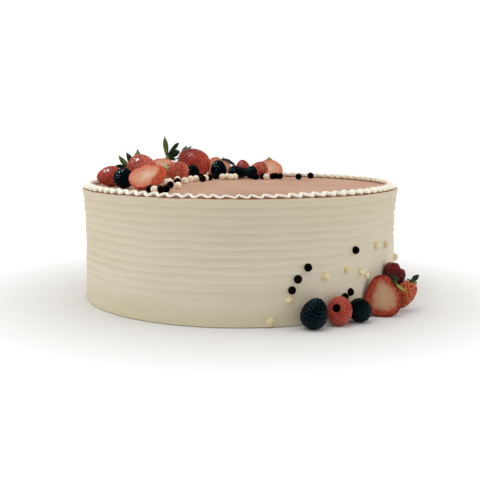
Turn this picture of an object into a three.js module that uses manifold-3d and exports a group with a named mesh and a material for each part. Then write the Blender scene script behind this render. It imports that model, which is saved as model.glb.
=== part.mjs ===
// A round berry cake in millimetres, +Z up, standing on z = 0 with its axis on the origin.
// The cake is uncut: one combed, iced body with a thin milk-chocolate glaze let into its top and a piped rope
// round the rim. Berries lie in a crescent along the rim and in a small group at the foot of the cake.
// The front of the cake is at -Y. Crunchy chocolate pearls are fused to the glaze and to the icing.
import * as THREE from 'three';
import { mergeVertices } from 'three/addons/utils/BufferGeometryUtils.js';
import Module from 'manifold-3d';

const wasm = await Module();
wasm.setup();

// Driving dimensions of the cake
const CAKE_RADIUS = 127;
const CAKE_SEGMENTS = 40;
const FOOT_FLARE = 0.5;
const FOOT_FLARE_BELOW = 6;
const RIM_FLARE = 1.6;
const RIM_FLARE_FROM = 68;
const LIP_TOP = 88.4;
const LIP_WIDTH = 2;
const SEAT_DEPTH = 1;
const GAP = 0.3;

// The comb that drew the icing left shallow round-backed ridges
const RIDGE_PITCH = 5.85;
const RIDGE_DEPTH = 0.45;
const TOP_GROOVE = 82.2;
const RIDGE_COUNT = 12;
const FADE_BELOW = 26;

// Glaze and piped rope
const GLAZE_TOP = 88.8;
const ROPE_LOOPS = 88;
const ROPE_RADIUS = 124.3;
const ROPE_REACH = 3;
const ROPE_RISE = 0.45;
const ROPE_STRAND = 1.15;
const ROPE_STEPS = 4;
const ROPE_SIDES = 4;

// Pearls
const PEARL_RADIUS = 2.75;
const PEARL_SIDES = 5;
const PEARL_ROWS = 4;
const PEARL_SINK = 0.3;
const PEARL_STAND_OUT = 1;

// Berries
const BERRY_SIDES = 12;
const BERRY_ROWS = 8;
const HOLLOW_ROWS = 11;
const DOME_ROWS = 4;
const DRUPELET_SHARE = 0.045;
const STRAWBERRY_TAPER = 0.36;
const DRUPELET_TAPER = 0.2;
const DIMPLE_SHARE = 0.08;

// Leaves
const LEAF_THICKNESS = 0.7;
const LEAF_BOW = 0.15;
const LEAF_FOLD = 0.2;
const LEAF_SHARES = [0.4, 1, 0.75];
const KNOB_RADIUS = 2;
const HALF_STEM_BACK = 0.25;

const FLOOR = 0;
const TOP_LEVEL = GLAZE_TOP + GAP;
const TOWARDS_VIEWER = [0, -1, 0];

// Colours
const ICING = 0xe8dfc8;
const GLAZE = 0xc79a86;
const PIPING = 0xf2ead8;
const STRAWBERRY = 0xb83a2c;
const RASPBERRY = 0xa83a3a;
const BRAMBLE = 0x16161f;
const LEAF = 0x4a6a34;

// Berries on the glaze: where each rests and which way its stem end points. Sizes are its length along the
// stem axis and its width across. A berry's taper is 0 for an even oval and grows as the tip gets slimmer
// than the shoulders. A cut half has the way its cut face looks, the radii of that face every 30 degrees
// clockwise from the stem, and how deep the half is behind it.
const TOP_BERRIES = [
  { name: 'raspberry_1', kind: 'raspberry', at: [-106, -16], stem: [0.95, 0.25, 0.1], long: 20, wide: 16 },
  { name: 'raspberry_2', kind: 'raspberry', at: [2.6, 108], stem: [0.1, 0.1, -1], long: 16.8, wide: 13.4 },
  { name: 'raspberry_3', kind: 'raspberry', at: [-99, 22], stem: [0.7, 0.7, 0], long: 17, wide: 14 },
  { name: 'raspberry_4', kind: 'raspberry', at: [-91, 61], stem: [0.5, -0.8, -0.2], long: 18, wide: 15 },
  { name: 'raspberry_5', kind: 'raspberry', at: [-70, -35], stem: [0.8, 0.5, 0.1], long: 17, wide: 14.5 },
  { name: 'bramble_1', kind: 'bramble', at: [-91, -42], stem: [0.35, 0.9, 0.05], long: 18, wide: 15.8 },
  { name: 'bramble_2', kind: 'bramble', at: [-46.3, 63.5], stem: [0.4, 0.8, 0.1], long: 13.5, wide: 13.2 },
  { name: 'bramble_3', kind: 'bramble', at: [-20.6, 92], stem: [0.08, 0.1, -1], long: 17, wide: 15.6 },
  { name: 'bramble_4', kind: 'bramble', at: [-3.8, 82], stem: [-0.95, 0.25, 0.05], long: 15, wide: 11.8 },
  { name: 'bramble_5', kind: 'bramble', at: [9.9, 80], stem: [0.95, 0.1, 0], long: 12.8, wide: 11.8 },
  { name: 'bramble_6', kind: 'bramble', at: [-97, 42], stem: [0.9, -0.3, 0.1], long: 18, wide: 15 },
  { name: 'bramble_7', kind: 'bramble', at: [-72, 21], stem: [0.7, 0.6, 0], long: 16, wide: 13 },
  { name: 'bramble_10', kind: 'bramble', at: [-1, 94.2], stem: [0.95, -0.1, 0.1], long: 14, wide: 10 },
  { name: 'strawberry_1', kind: 'strawberry', at: [-79, -8], stem: [-0.8, 0.5, 0.12], long: 29.5, wide: 26 },
  {
    name: 'strawberry_2', kind: 'strawberry', at: [-57, 49], stem: [0.85, 0.45, -0.05],
    long: 23.5, wide: 17.4, taper: 0.25,
  },
  {
    name: 'strawberry_3', kind: 'strawberry', at: [-43.7, 88], stem: [-0.75, 0.45, 0.3],
    long: 33.5, wide: 26.4, taper: 0.15,
  },
  {
    name: 'strawberry_4', kind: 'strawberry', at: [17.75, 92.65], stem: [0.85, 0.5, 0.1],
    long: 19, wide: 15, taper: 0.2,
  },
  {
    name: 'half_1', kind: 'half', at: [-69.3, -67], stem: [0.85, 0.3, 0.4], face: [-0.3, -0.8, 0.5],
    radii: [15.2, 13.6, 10.8, 9.2, 10.2, 12.6, 13.6, 13.4, 12.8, 12.4, 13.7, 11.7], deep: 11.5,
  },
  {
    name: 'half_2', kind: 'half', at: [-72.4, 80], stem: [0.3, 0.3, 0.85], face: [-0.2, -0.85, 0.35],
    radii: [9.8, 10.8, 12, 12, 11.2, 10.4, 10.4, 11, 11.8, 12.6, 12, 9.8], deep: 10,
  },
  {
    name: 'half_3', kind: 'half', at: [-19.6, 107], stem: [0.35, 0.25, 0.9], face: [0.05, -0.8, 0.5],
    radii: [7.7, 8.8, 10.9, 11.7, 10.1, 9.7, 9.8, 11.1, 11.8, 11.7, 11.7, 10.1], deep: 8,
  },
  {
    name: 'half_4', kind: 'half', at: [29.5, 104.3], stem: [-0.1, 0.35, 0.9], face: [0.15, -0.95, 0.3],
    radii: [7.5, 7.9, 9, 11.5, 13.1, 11.1, 9.2, 10.8, 13, 13, 10.6, 8.2], deep: 10,
  },
];

// Berries at the foot of the cake, in the same words. Squeeze narrows a berry from side to side, and lift
// holds it up from the ground between its neighbours. The last is two berries grown together.
const FOOT_BERRIES = [
  { name: 'bramble_8', kind: 'bramble', at: [50.8, -130], stem: [-0.25, 0.25, -1], long: 22.3, wide: 18.2 },
  {
    name: 'raspberry_6', kind: 'hollow', at: [69.4, -117.2], stem: [-0.26, -0.9, 0.36],
    long: 17.5, wide: 20.8, squeeze: 0.83,
  },
  { name: 'bramble_9', kind: 'bramble', at: [84.3, -110.8], stem: [0.3, 0.6, -0.6], long: 18.8, wide: 16.4 },
  {
    name: 'strawberry_5', kind: 'strawberry', at: [124.2, -76.2], stem: [0.36, 0, 0.9], lift: 1.8,
    long: 22.6, wide: 14.6, taper: 0.25,
  },
  {
    name: 'half_5', kind: 'half', at: [103.9, -94], stem: [0.62, 0.1, 0.75], face: [-0.12, -1, 0.15],
    radii: [11.8, 11.9, 13.4, 14.5, 14.4, 14.6, 16, 14.4, 13, 13.2, 15.8, 15.9], deep: 11,
  },
  {
    name: 'strawberry_6', kind: 'double', at: [115.7, -67.6], stem: [0.05, 0.05, 1], lift: 8,
    lobes: [{ aside: [-1.6, -0.9, 0], long: 28.4, wide: 12.8 }, { aside: [3.2, -1.3, 7.4], long: 15, wide: 11 }],
  },
];

// Leaves by the berry that carries them. Each reaches from the stem end to its tip, given in millimetres
// along the cake's axes. Its blade lies across the way given, or else square to the stem, and its shares
// give its breadth at the root, a third and two thirds of the way.
const CALYXES = {
  strawberry_1: [
    { tip: [-10.4, -1, 11], wide: 5, shares: [0.4, 1, 0.9] },
    { tip: [-5, 4, 13.6], wide: 5.4, bow: -4, across: [0.8, 0, 0.6], shares: [0.4, 1, 0.9] },
    { tip: [4.6, 6, 15.6], wide: 5, bow: -5, across: [0.9, 0, 0.2] },
    { tip: [-13, -5, 2.4], wide: 4.4 },
  ],
  strawberry_3: [
    { tip: [4.4, 6, 11.6], wide: 5, across: [1, 0, -0.3], shares: [0.4, 0.8, 1] },
    { tip: [11.2, 6, 10.6], wide: 3.4, across: [1, 0, -0.6], shares: [0.4, 0.8, 1] },
    { tip: [-8, 4, -3], wide: 5 },
  ],
  strawberry_5: [
    { tip: [-4.4, -1, 1.2], wide: 3 },
    { tip: [5.8, 0, 4.6], wide: 4.4, across: [-0.6, 0, 0.8] },
    { tip: [4.4, 1, -2.8], wide: 3.4, across: [0.7, 0, 0.7] },
  ],
  half_1: [
    { tip: [2, -1, -5], wide: 2.6, across: [0, 0.3, 1] },
    { tip: [1, 3, 2.5], wide: 2.6 },
  ],
  half_2: [
    { tip: [-2.5, 0, 20.8], wide: 4, bow: -1, across: [1, 0.2, 0], shares: [0.3, 0.6, 1] },
    { tip: [11.4, 0, 14.2], wide: 4.8, bow: 5.5, across: [0.7, 0, -0.7], shares: [0.5, 1, 0.9] },
    { tip: [12.4, 0, 5.4], wide: 7, bow: 3.5, across: [0.35, 0, -0.94], shares: [0.5, 1, 0.9] },
    { tip: [7.6, -2, -3.4], wide: 4.6, bow: 3, across: [0.35, 0, 0.94] },
  ],
  half_3: [
    { tip: [11.6, -3, -6.6], wide: 3.6, bow: 0.6, across: [0.2, 0.7, 0.7] },
    { tip: [4, 7, -1], wide: 4 },
  ],
  half_4: [
    { tip: [2.5, 0, 1.5], wide: 1.6, across: [1, 0, 0] },
    { tip: [-5, 5, -3], wide: 3, bow: 0 },
    { tip: [4, 7, -3], wide: 3.4 },
  ],
  half_5: [
    { tip: [-5.6, 1, 7.4], wide: 3, across: [0.6, -0.4, 0.6] },
    { tip: [9.4, -3, -7.2], wide: 3.4, bow: -1.4, across: [0.5, 0.3, 0.8] },
    { tip: [3, 7, 3], wide: 4.4 },
  ],
};

// Pearls on the glaze, by x and y of the middle
const DARK_PEARLS = [
  [-66, -79], [-57.8, -83], [-54.2, -78], [-55, -36], [-52.6, 6], [-33.1, 40], [-35.6, 68], [-27.8, 60],
  [-22.5, 77.5], [14.6, 70], [21.6, 76.5], [30.6, 78], [33.8, 84.4], [37.5, 79], [54.5, 73], [67, 88],
];
const CREAM_PEARLS = [
  [-62, -83.6], [-48.2, -43.6], [-61, -5], [-59, 2.5], [-55, 33.5], [-47.1, 14.4], [-43.6, 37.5],
  [-39.2, 42.5], [-31.2, 52.5], [-16.3, 69], [-11.9, 72.8], [-8.7, 67], [-4.7, 71.2], [24.4, 70],
];

// Pearls in the icing, by degrees round from +X and height of the middle
const SIDE_PEARLS = [
  [-50.1, 49.2], [-68.8, 40.5], [-72.2, 32.7], [-74.1, 25.3], [-52.2, 19.4], [-54.7, 16.4], [-38.2, 49.8],
  [-30.6, 48.6], [-13.5, 32.7], [-53.9, 36.7], [-47.7, 33.7], [-44.2, 29.4], [-62.6, 33.7], [-74.8, 18.8],
  [-80.8, 3.7],
];

// A closed three.js geometry as a solid, turned outwards where its faces point in
function solidOf(geometry) {
  const bare = geometry.clone();
  bare.deleteAttribute('normal');
  bare.deleteAttribute('uv');
  const merged = mergeVertices(bare, 1e-4);
  const vertProperties = new Float32Array(merged.attributes.position.array);
  const triVerts = new Uint32Array(merged.index.array);
  const made = new wasm.Manifold(new wasm.Mesh({ numProp: 3, vertProperties, triVerts }));
  if (made.volume() > 0) return made;
  return new wasm.Manifold(new wasm.Mesh({ numProp: 3, vertProperties, triVerts: triVerts.reverse() }));
}

// The largest body of a solid as a three.js geometry
function geometryOf(solid) {
  const bodies = solid.decompose();
  const main = bodies.reduce((best, one) => (one.volume() > best.volume() ? one : best));
  const { numProp, numVert, vertProperties, triVerts } = main.getMesh();
  const positions = new Float32Array(numVert * 3);
  for (let i = 0; i < numVert; i += 1) {
    positions.set(vertProperties.subarray(i * numProp, i * numProp + 3), i * 3);
  }
  const geometry = new THREE.BufferGeometry();
  geometry.setAttribute('position', new THREE.BufferAttribute(positions, 3));
  geometry.setIndex(new THREE.BufferAttribute(new Uint32Array(triVerts), 1));
  geometry.computeVertexNormals();
  return geometry;
}

function meshOf(name, geometry, color, roughness) {
  const mesh = new THREE.Mesh(geometry, new THREE.MeshStandardMaterial({ color, roughness, metalness: 0 }));
  mesh.name = name;
  return mesh;
}

// A lathe profile of [radius, height] pairs, spun about the cake's axis
function spun(profile) {
  const points = profile.map(([radius, height]) => new THREE.Vector2(radius, height));
  return new THREE.LatheGeometry(points, CAKE_SEGMENTS).rotateX(Math.PI / 2);
}

// A closed skin from pole to pole: place(turn, way) gives the point at a turn round the axis, in radians,
// and a way of 0 to 1 from the first pole to the last
function skin(sides, rows, place) {
  const positions = [];
  const faces = [];
  for (let row = 0; row <= rows; row += 1) {
    for (let side = 0; side < sides; side += 1) {
      positions.push(...place((2 * Math.PI * side) / sides, row / rows, row, side));
    }
  }
  for (let row = 0; row < rows; row += 1) {
    for (let side = 0; side < sides; side += 1) {
      const next = (side + 1) % sides;
      const a = row * sides + side;
      const b = row * sides + next;
      const c = (row + 1) * sides + side;
      const d = (row + 1) * sides + next;
      if (row > 0) faces.push(a, b, d);
      if (row < rows - 1) faces.push(a, d, c);
    }
  }
  const geometry = new THREE.BufferGeometry();
  geometry.setAttribute('position', new THREE.Float32BufferAttribute(positions, 3));
  geometry.setIndex(faces);
  return geometry;
}

// How far the icing stands from the axis at a height, without the comb's ridges
function icingRadius(height) {
  const up = Math.max(0, (height - RIM_FLARE_FROM) / (LIP_TOP - RIM_FLARE_FROM));
  const down = Math.max(0, 1 - height / FOOT_FLARE_BELOW);
  return CAKE_RADIUS + RIM_FLARE * up + FOOT_FLARE * down;
}

// One pearl, a little ball with few sides
function pearlAt(x, y, z) {
  const ball = new THREE.SphereGeometry(PEARL_RADIUS, PEARL_SIDES, PEARL_ROWS);
  return solidOf(ball.rotateX(Math.PI / 2).translate(x, y, z));
}

// The iced body: grooves alternate with ridge backs, and the grooves fade towards the foot
function cakeBody() {
  const side = [[icingRadius(0), 0]];
  for (let ridge = RIDGE_COUNT - 1; ridge >= 0; ridge -= 1) {
    const groove = TOP_GROOVE - ridge * RIDGE_PITCH;
    const depth = RIDGE_DEPTH * Math.min(1, groove / FADE_BELOW);
    const back = groove + RIDGE_PITCH / 2;
    side.push([icingRadius(groove) - depth, groove]);
    side.push([icingRadius(back), back]);
  }
  const lipInner = icingRadius(LIP_TOP) - LIP_WIDTH;
  const profile = [
    [0, 0],
    ...side,
    [icingRadius(LIP_TOP), LIP_TOP],
    [lipInner, LIP_TOP],
    [lipInner, LIP_TOP - SEAT_DEPTH],
    [0, LIP_TOP - SEAT_DEPTH],
  ];
  const pearls = SIDE_PEARLS.map(([bearing, height]) => {
    const turn = THREE.MathUtils.degToRad(bearing);
    const out = icingRadius(height) + PEARL_STAND_OUT;
    return pearlAt(out * Math.cos(turn), out * Math.sin(turn), height);
  });
  return geometryOf(wasm.Manifold.union([solidOf(spun(profile)), ...pearls]));
}

// The glaze: a thin disc in the seat of the body, with the pearls that lie on it
function glazeDisc() {
  const radius = icingRadius(LIP_TOP) - LIP_WIDTH - GAP;
  const bottom = LIP_TOP - SEAT_DEPTH + GAP;
  const disc = spun([[0, bottom], [radius, bottom], [radius, GLAZE_TOP], [0, GLAZE_TOP]]);
  const middle = GLAZE_TOP + PEARL_RADIUS - PEARL_SINK;
  const pearls = [...DARK_PEARLS, ...CREAM_PEARLS].map(([x, y]) => pearlAt(x, y, middle));
  return geometryOf(wasm.Manifold.union([solidOf(disc), ...pearls]));
}

// The piped rope: a flat coil that winds round the rim and closes on itself
class RopeLine extends THREE.Curve {
  getPoint(share, target = new THREE.Vector3()) {
    const turn = 2 * Math.PI * share;
    const wind = turn * ROPE_LOOPS;
    const radius = ROPE_RADIUS - ROPE_REACH * Math.cos(wind);
    const middle = GLAZE_TOP + GAP + ROPE_STRAND + ROPE_RISE;
    return target.set(radius * Math.cos(turn), radius * Math.sin(turn), middle + ROPE_RISE * Math.sin(wind));
  }
}

function pipedRope() {
  return new THREE.TubeGeometry(new RopeLine(), ROPE_LOOPS * ROPE_STEPS, ROPE_STRAND, ROPE_SIDES, true);
}

// Egg outline: the angle a runs from the tip, 0, to the stem end, pi, and taper pushes the widest place
// towards the stem end. The result is [radius, height] in shares of half the width and half the length.
function egg(a, taper) {
  const widestAngle = Math.PI / 2 + 0.9 * taper;
  const widest = Math.sin(widestAngle) * (1 - taper * Math.cos(widestAngle));
  return [(Math.sin(a) * (1 - taper * Math.cos(a))) / widest, -Math.cos(a)];
}

// A strawberry: a full-shouldered egg, a little uneven round its axis, with a dimple at the stem end
function strawberry({ long, wide, taper = STRAWBERRY_TAPER }) {
  return skin(BERRY_SIDES, BERRY_ROWS, (turn, way) => {
    const [out, up] = egg(Math.PI * way, taper);
    const uneven = 1 + 0.03 * Math.cos(2 * turn + long) + 0.025 * Math.cos(3 * turn + wide);
    const dimple = DIMPLE_SHARE * long * Math.exp(-(((1 - way) / 0.1) ** 2));
    const radius = (wide / 2) * out * uneven;
    return [radius * Math.cos(turn), radius * Math.sin(turn), (long / 2) * up - dimple];
  });
}

// Two strawberries grown together side by side, each with its tip at its own place
function doubleStrawberry({ lobes }) {
  const grown = lobes.map((lobe) => {
    const [x, y, z] = lobe.aside;
    return solidOf(strawberry(lobe).translate(x, y, z + lobe.long / 2));
  });
  return geometryOf(wasm.Manifold.union(grown));
}

// A raspberry or a bramble: every second point of the skin stands proud as a drupelet
function drupeletBerry({ long, wide }) {
  return skin(BERRY_SIDES, BERRY_ROWS, (turn, way, row, side) => {
    const [out, up] = egg(Math.PI * way, DRUPELET_TAPER);
    const bump = 1 + DRUPELET_SHARE * ((row + side) % 2 ? 1 : -1);
    const radius = (wide / 2) * out * bump;
    return [radius * Math.cos(turn), radius * Math.sin(turn), (long / 2) * up];
  });
}

// A raspberry off its core: the skin runs up the outside to the rim, bends in and goes down into the hollow
function hollowRaspberry({ long, wide, squeeze }) {
  const rim = { way: 0.62, angle: 0.8 * Math.PI };
  const hollow = { radius: 0.3, depth: 1.2 };
  const [rimOut, rimUp] = egg(rim.angle, DRUPELET_TAPER);
  return skin(BERRY_SIDES, HOLLOW_ROWS, (turn, way, row, side) => {
    const bump = 1 + DRUPELET_SHARE * ((row + side) % 2 ? 1 : -1);
    const inside = Math.max(0, (way - rim.way) / (1 - rim.way));
    let [out, up] = egg(Math.min(1, way / rim.way) * rim.angle, DRUPELET_TAPER);
    out *= inside > 0 ? 1 : bump;
    if (inside > 0) {
      const mouth = Math.min(1, 3 * inside);
      out = rimOut + (hollow.radius - rimOut) * mouth;
      up = rimUp + 0.06 * mouth - hollow.depth * Math.max(0, (3 * inside - 1) / 2);
      if (inside > 0.99) out = 0;
    }
    const radius = (wide / 2) * out;
    return [squeeze * radius * Math.cos(turn), radius * Math.sin(turn), (long / 2) * up];
  });
}

// Half a strawberry: its cut face has the given radii, and the skin arches to the back behind it. The margin
// makes it larger all round.
function halfStrawberry({ radii, deep, margin = 0 }) {
  return skin(radii.length, DOME_ROWS + 1, (turn, way, row, side) => {
    const arch = (Math.PI / 2) * (Math.max(0, row - 1) / DOME_ROWS);
    const out = row > 0 ? (radii[side] + margin) * Math.cos(arch) : 0;
    return [out * Math.sin(turn), (deep + margin) * Math.sin(arch) - margin, out * Math.cos(turn)];
  });
}

const SHAPES = {
  strawberry: { shape: strawberry, color: STRAWBERRY, roughness: 0.35 },
  half: { shape: halfStrawberry, color: STRAWBERRY, roughness: 0.35 },
  double: { shape: doubleStrawberry, color: STRAWBERRY, roughness: 0.35 },
  raspberry: { shape: drupeletBerry, color: RASPBERRY, roughness: 0.45 },
  hollow: { shape: hollowRaspberry, color: RASPBERRY, roughness: 0.45 },
  bramble: { shape: drupeletBerry, color: BRAMBLE, roughness: 0.3 },
};

// The turn that points +Z along the stem and -Y as near as it can to the face
function turnTo(stem, face) {
  const up = new THREE.Vector3(...stem).normalize();
  const back = new THREE.Vector3(...face).negate();
  back.addScaledVector(up, -back.dot(up)).normalize();
  const side = new THREE.Vector3().crossVectors(back, up);
  return new THREE.Matrix4().makeBasis(side, back, up);
}

// One pointed leaf from the stem end to its tip: its middle line is a quadratic curve that bows towards the
// stem, and its blade is folded up a little on both sides. The two faces are split alike.
function leaf({ tip, wide, bow, across, shares = LEAF_SHARES }) {
  const length = tip.length();
  const rise = bow ?? LEAF_BOW * length;
  const bend = tip.clone().multiplyScalar(0.5).add(new THREE.Vector3(0, 0, rise));
  const line = new THREE.QuadraticBezierCurve3(new THREE.Vector3(), bend, tip);
  const positions = [];
  const put = (point) => positions.push(point.x, point.y, point.z);
  for (const layer of [0, 1]) {
    for (let step = 0; step <= shares.length; step += 1) {
      const along = step / shares.length;
      const middle = line.getPoint(along);
      const forward = line.getTangent(along);
      const sideways = across.clone().addScaledVector(forward, -across.dot(forward)).normalize();
      const upward = new THREE.Vector3().crossVectors(forward, sideways);
      middle.addScaledVector(upward, (0.5 - layer) * LEAF_THICKNESS);
      const half = ((shares[step] ?? 0) * wide) / 2;
      if (half > 0) put(middle.clone().addScaledVector(sideways, -half).addScaledVector(upward, LEAF_FOLD * half));
      put(middle);
      if (half > 0) put(middle.clone().addScaledVector(sideways, half).addScaledVector(upward, LEAF_FOLD * half));
    }
  }
  const rows = shares.length;
  const tipPoint = 3 * rows;
  const layerSize = tipPoint + 1;
  const faces = [];
  const both = (a, b, c) => faces.push(a, b, c, a + layerSize, c + layerSize, b + layerSize);
  const wall = (a, b) => faces.push(b, a, a + layerSize, b, a + layerSize, b + layerSize);
  for (let row = 0; row < rows - 1; row += 1) {
    for (const lane of [0, 1]) {
      const a = 3 * row + lane;
      both(a, a + 3, a + 4);
      both(a, a + 4, a + 1);
    }
    wall(3 * row, 3 * row + 3);
    wall(3 * row + 5, 3 * row + 2);
  }
  both(tipPoint - 3, tipPoint, tipPoint - 2);
  both(tipPoint - 2, tipPoint, tipPoint - 1);
  wall(tipPoint - 3, tipPoint);
  wall(tipPoint, tipPoint - 1);
  wall(1, 0);
  wall(2, 1);
  const geometry = new THREE.BufferGeometry();
  geometry.setAttribute('position', new THREE.Float32BufferAttribute(positions, 3));
  geometry.setIndex(faces);
  return geometry;
}

// The leaves of one berry, joined at a small knob over the stem end and cut clear of the berry itself
function calyx(berry, turned) {
  const top = berry.radii ? berry.radii[0] : berry.long * (0.5 - DIMPLE_SHARE);
  const root = [0, berry.radii ? HALF_STEM_BACK * berry.deep : 0, top + KNOB_RADIUS * 0.6 + GAP];
  const knob = new THREE.SphereGeometry(KNOB_RADIUS, 5, 2).rotateX(Math.PI / 2).scale(1, 1, 0.6);
  const unturn = turned.clone().invert();
  const leaves = CALYXES[berry.name].map((form) => {
    const tip = new THREE.Vector3(...form.tip).applyMatrix4(unturn);
    const across = form.across
      ? new THREE.Vector3(...form.across).applyMatrix4(unturn)
      : new THREE.Vector3(0, 0, 1).cross(tip);
    return solidOf(leaf({ ...form, tip, across }).translate(...root));
  });
  const clear = { ...berry, long: berry.long + 3 * GAP, wide: berry.wide + 3 * GAP, margin: 1.5 * GAP };
  const whole = wasm.Manifold.union([solidOf(knob.translate(...root)), ...leaves]);
  return geometryOf(whole.subtract(solidOf(SHAPES[berry.kind].shape(clear))));
}

// A berry in its own frame, turned and set down so that its lowest point is at the level
function berryGroup(berry, level) {
  const { shape, color, roughness } = SHAPES[berry.kind];
  const turned = turnTo(berry.stem, berry.face ?? TOWARDS_VIEWER);
  const group = new THREE.Group();
  const body = meshOf(berry.name, shape(berry), color, roughness);
  group.add(body);
  if (CALYXES[berry.name]) group.add(meshOf(`${berry.name}_calyx`, calyx(berry, turned), LEAF, 0.6));
  group.setRotationFromMatrix(turned);
  group.updateMatrixWorld(true);
  const lowest = new THREE.Box3().setFromObject(body, true).min.z;
  group.position.set(berry.at[0], berry.at[1], level + (berry.lift ?? 0) - lowest);
  return group;
}

const cake = new THREE.Group();
cake.add(meshOf('cake_body', cakeBody(), ICING, 0.6));
cake.add(meshOf('glaze', glazeDisc(), GLAZE, 0.25));
cake.add(meshOf('piped_rope', pipedRope(), PIPING, 0.5));
for (const berry of TOP_BERRIES) cake.add(berryGroup(berry, TOP_LEVEL));
for (const berry of FOOT_BERRIES) cake.add(berryGroup(berry, FLOOR));

export default cake;
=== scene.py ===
# %% [markdown]
# # A round berry cake
# The cake stands on its own on a pale floor: combed cream icing, a thin milk-chocolate glaze, a rope of
# icing round the rim, and fruit in two groups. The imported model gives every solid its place. Here each of
# them gets its real surface, worked out with numpy, and its finish, made from shader nodes. Lengths are
# written in millimetres, as a baker would measure them, and turned into metres when a mesh is made.

# %% Load the frame
import math

import bpy
import numpy as np
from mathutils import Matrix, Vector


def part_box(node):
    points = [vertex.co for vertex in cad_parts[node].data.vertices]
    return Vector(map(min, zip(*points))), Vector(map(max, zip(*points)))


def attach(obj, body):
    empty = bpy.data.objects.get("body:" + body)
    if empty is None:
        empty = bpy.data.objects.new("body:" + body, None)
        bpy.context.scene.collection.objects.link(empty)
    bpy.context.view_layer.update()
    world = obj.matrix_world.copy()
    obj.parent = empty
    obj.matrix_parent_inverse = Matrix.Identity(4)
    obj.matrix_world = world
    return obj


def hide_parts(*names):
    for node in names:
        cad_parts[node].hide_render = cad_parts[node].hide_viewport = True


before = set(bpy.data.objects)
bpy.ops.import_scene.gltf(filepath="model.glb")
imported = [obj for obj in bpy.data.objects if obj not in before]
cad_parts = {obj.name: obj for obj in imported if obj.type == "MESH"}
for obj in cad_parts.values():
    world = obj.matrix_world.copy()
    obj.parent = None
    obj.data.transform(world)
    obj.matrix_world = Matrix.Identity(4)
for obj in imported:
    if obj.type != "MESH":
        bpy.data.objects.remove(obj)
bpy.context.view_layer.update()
MM = 0.001
print("nodes in the frame:", len(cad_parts))

# %% [markdown]
# ## The camera
# The photograph was taken from just above the cake, about 63 cm in front of its middle. The rim and the
# foot of a round cake are circles, so the two ellipses that they make in the picture fix the height, the
# tilt and the lens. The camera comes first, so that every later piece can be judged through it.

# %% Place the camera
lens = bpy.data.cameras.new("camera")
lens.sensor_width = 36
lens.lens = 56.68
camera = bpy.data.objects.new("camera", lens)
camera.location = (0, -0.6311, 0.1337)
camera.rotation_euler = (math.radians(81.77), 0, 0)
bpy.context.scene.collection.objects.link(camera)
bpy.context.scene.camera = camera
print("camera stands at", tuple(round(v, 3) for v in camera.location))

# %% [markdown]
# ## Skins
# Nearly everything on this cake is a closed skin: rings of points stacked from one pole to the other, or,
# for the rope, rings that follow a closed line. Such a skin is one numpy array of rows, sides and
# coordinates, so a single function can turn any of them into faces. Marks are values kept at each point,
# such as how far a point lies from the middle of a cut face, and the materials read them as attributes. A
# bmesh with one vertex made at a time would give the same faces, but whole arrays are shorter to write and
# much faster to work out.


# %% Turn rings of points into faces
def skin(rings, marks=None, closed_path=False, material=0):
    """Joins rings (rows, sides, xyz) into quads: each side meets the next one, and each row the next row.
    Without a closed path the first and last rows are poles, whose points all lie in one place."""
    rows, sides = rings.shape[:2]
    row, side = np.meshgrid(np.arange(rows if closed_path else rows - 1), np.arange(sides), indexing="ij")
    row = row.ravel()
    side = side.ravel()
    corners = np.stack([
        row * sides + side,
        row * sides + (side + 1) % sides,
        (row + 1) % rows * sides + (side + 1) % sides,
        (row + 1) % rows * sides + side,
    ], axis=1)
    quads = corners
    triangles = np.zeros((0, 3), int)
    if not closed_path:
        first = row == 0
        last = row == rows - 2
        quads = corners[~first & ~last]
        triangles = np.concatenate([corners[first][:, [0, 2, 3]], corners[last][:, [0, 1, 2]]])
    points = rings.reshape(-1, 3)
    kept = {}
    for label, value in (marks or {}).items():
        spread = np.broadcast_to(value, rings.shape[:2] + value.shape[2:])
        kept[label] = spread.reshape((-1,) + value.shape[2:])
    if not closed_path:
        merged = np.arange(len(points))
        merged[:sides] = 0
        merged[-sides:] = len(points) - 1
        quads = merged[quads]
        triangles = merged[triangles]
    return {"points": points, "quads": quads, "triangles": triangles, "marks": kept, "material": material}


def turned_outwards(part):
    """Faces the right way round: the volume summed over the faces is above 0 when they all point
    outwards."""
    points = part["points"]
    fan = np.concatenate([part["triangles"], part["quads"][:, [0, 1, 2]], part["quads"][:, [0, 2, 3]]])
    volume = np.einsum("ij,ij->i", points[fan[:, 0]], np.cross(points[fan[:, 1]], points[fan[:, 2]])).sum()
    if volume >= 0:
        return part
    return {**part, "quads": part["quads"][:, ::-1], "triangles": part["triangles"][:, ::-1]}


def joined(parts):
    """Several skins as one: their points follow each other, and their faces count on from there. Where a
    skin doesn't have a mark that another one has, it is 0."""
    kinds = {label: part["marks"][label].shape[1:] for part in parts for label in part["marks"]}
    marks = {label: [] for label in kinds}
    points, faces, materials = [], [], []
    count = 0
    for part in map(turned_outwards, parts):
        numbers = np.concatenate([part["triangles"].ravel(), part["quads"].ravel()])
        used, renumbered = np.unique(numbers, return_inverse=True)
        split = part["triangles"].size
        faces += (renumbered[:split].reshape(-1, 3) + count).tolist()
        faces += (renumbered[split:].reshape(-1, 4) + count).tolist()
        materials += [part["material"]] * (len(part["triangles"]) + len(part["quads"]))
        points.append(part["points"][used])
        for label, kind in kinds.items():
            none = np.zeros((len(part["points"]),) + kind)
            marks[label].append(part["marks"].get(label, none)[used])
        count += len(used)
    marks = {label: np.concatenate(values) for label, values in marks.items()}
    return np.concatenate(points), faces, materials, marks


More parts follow.
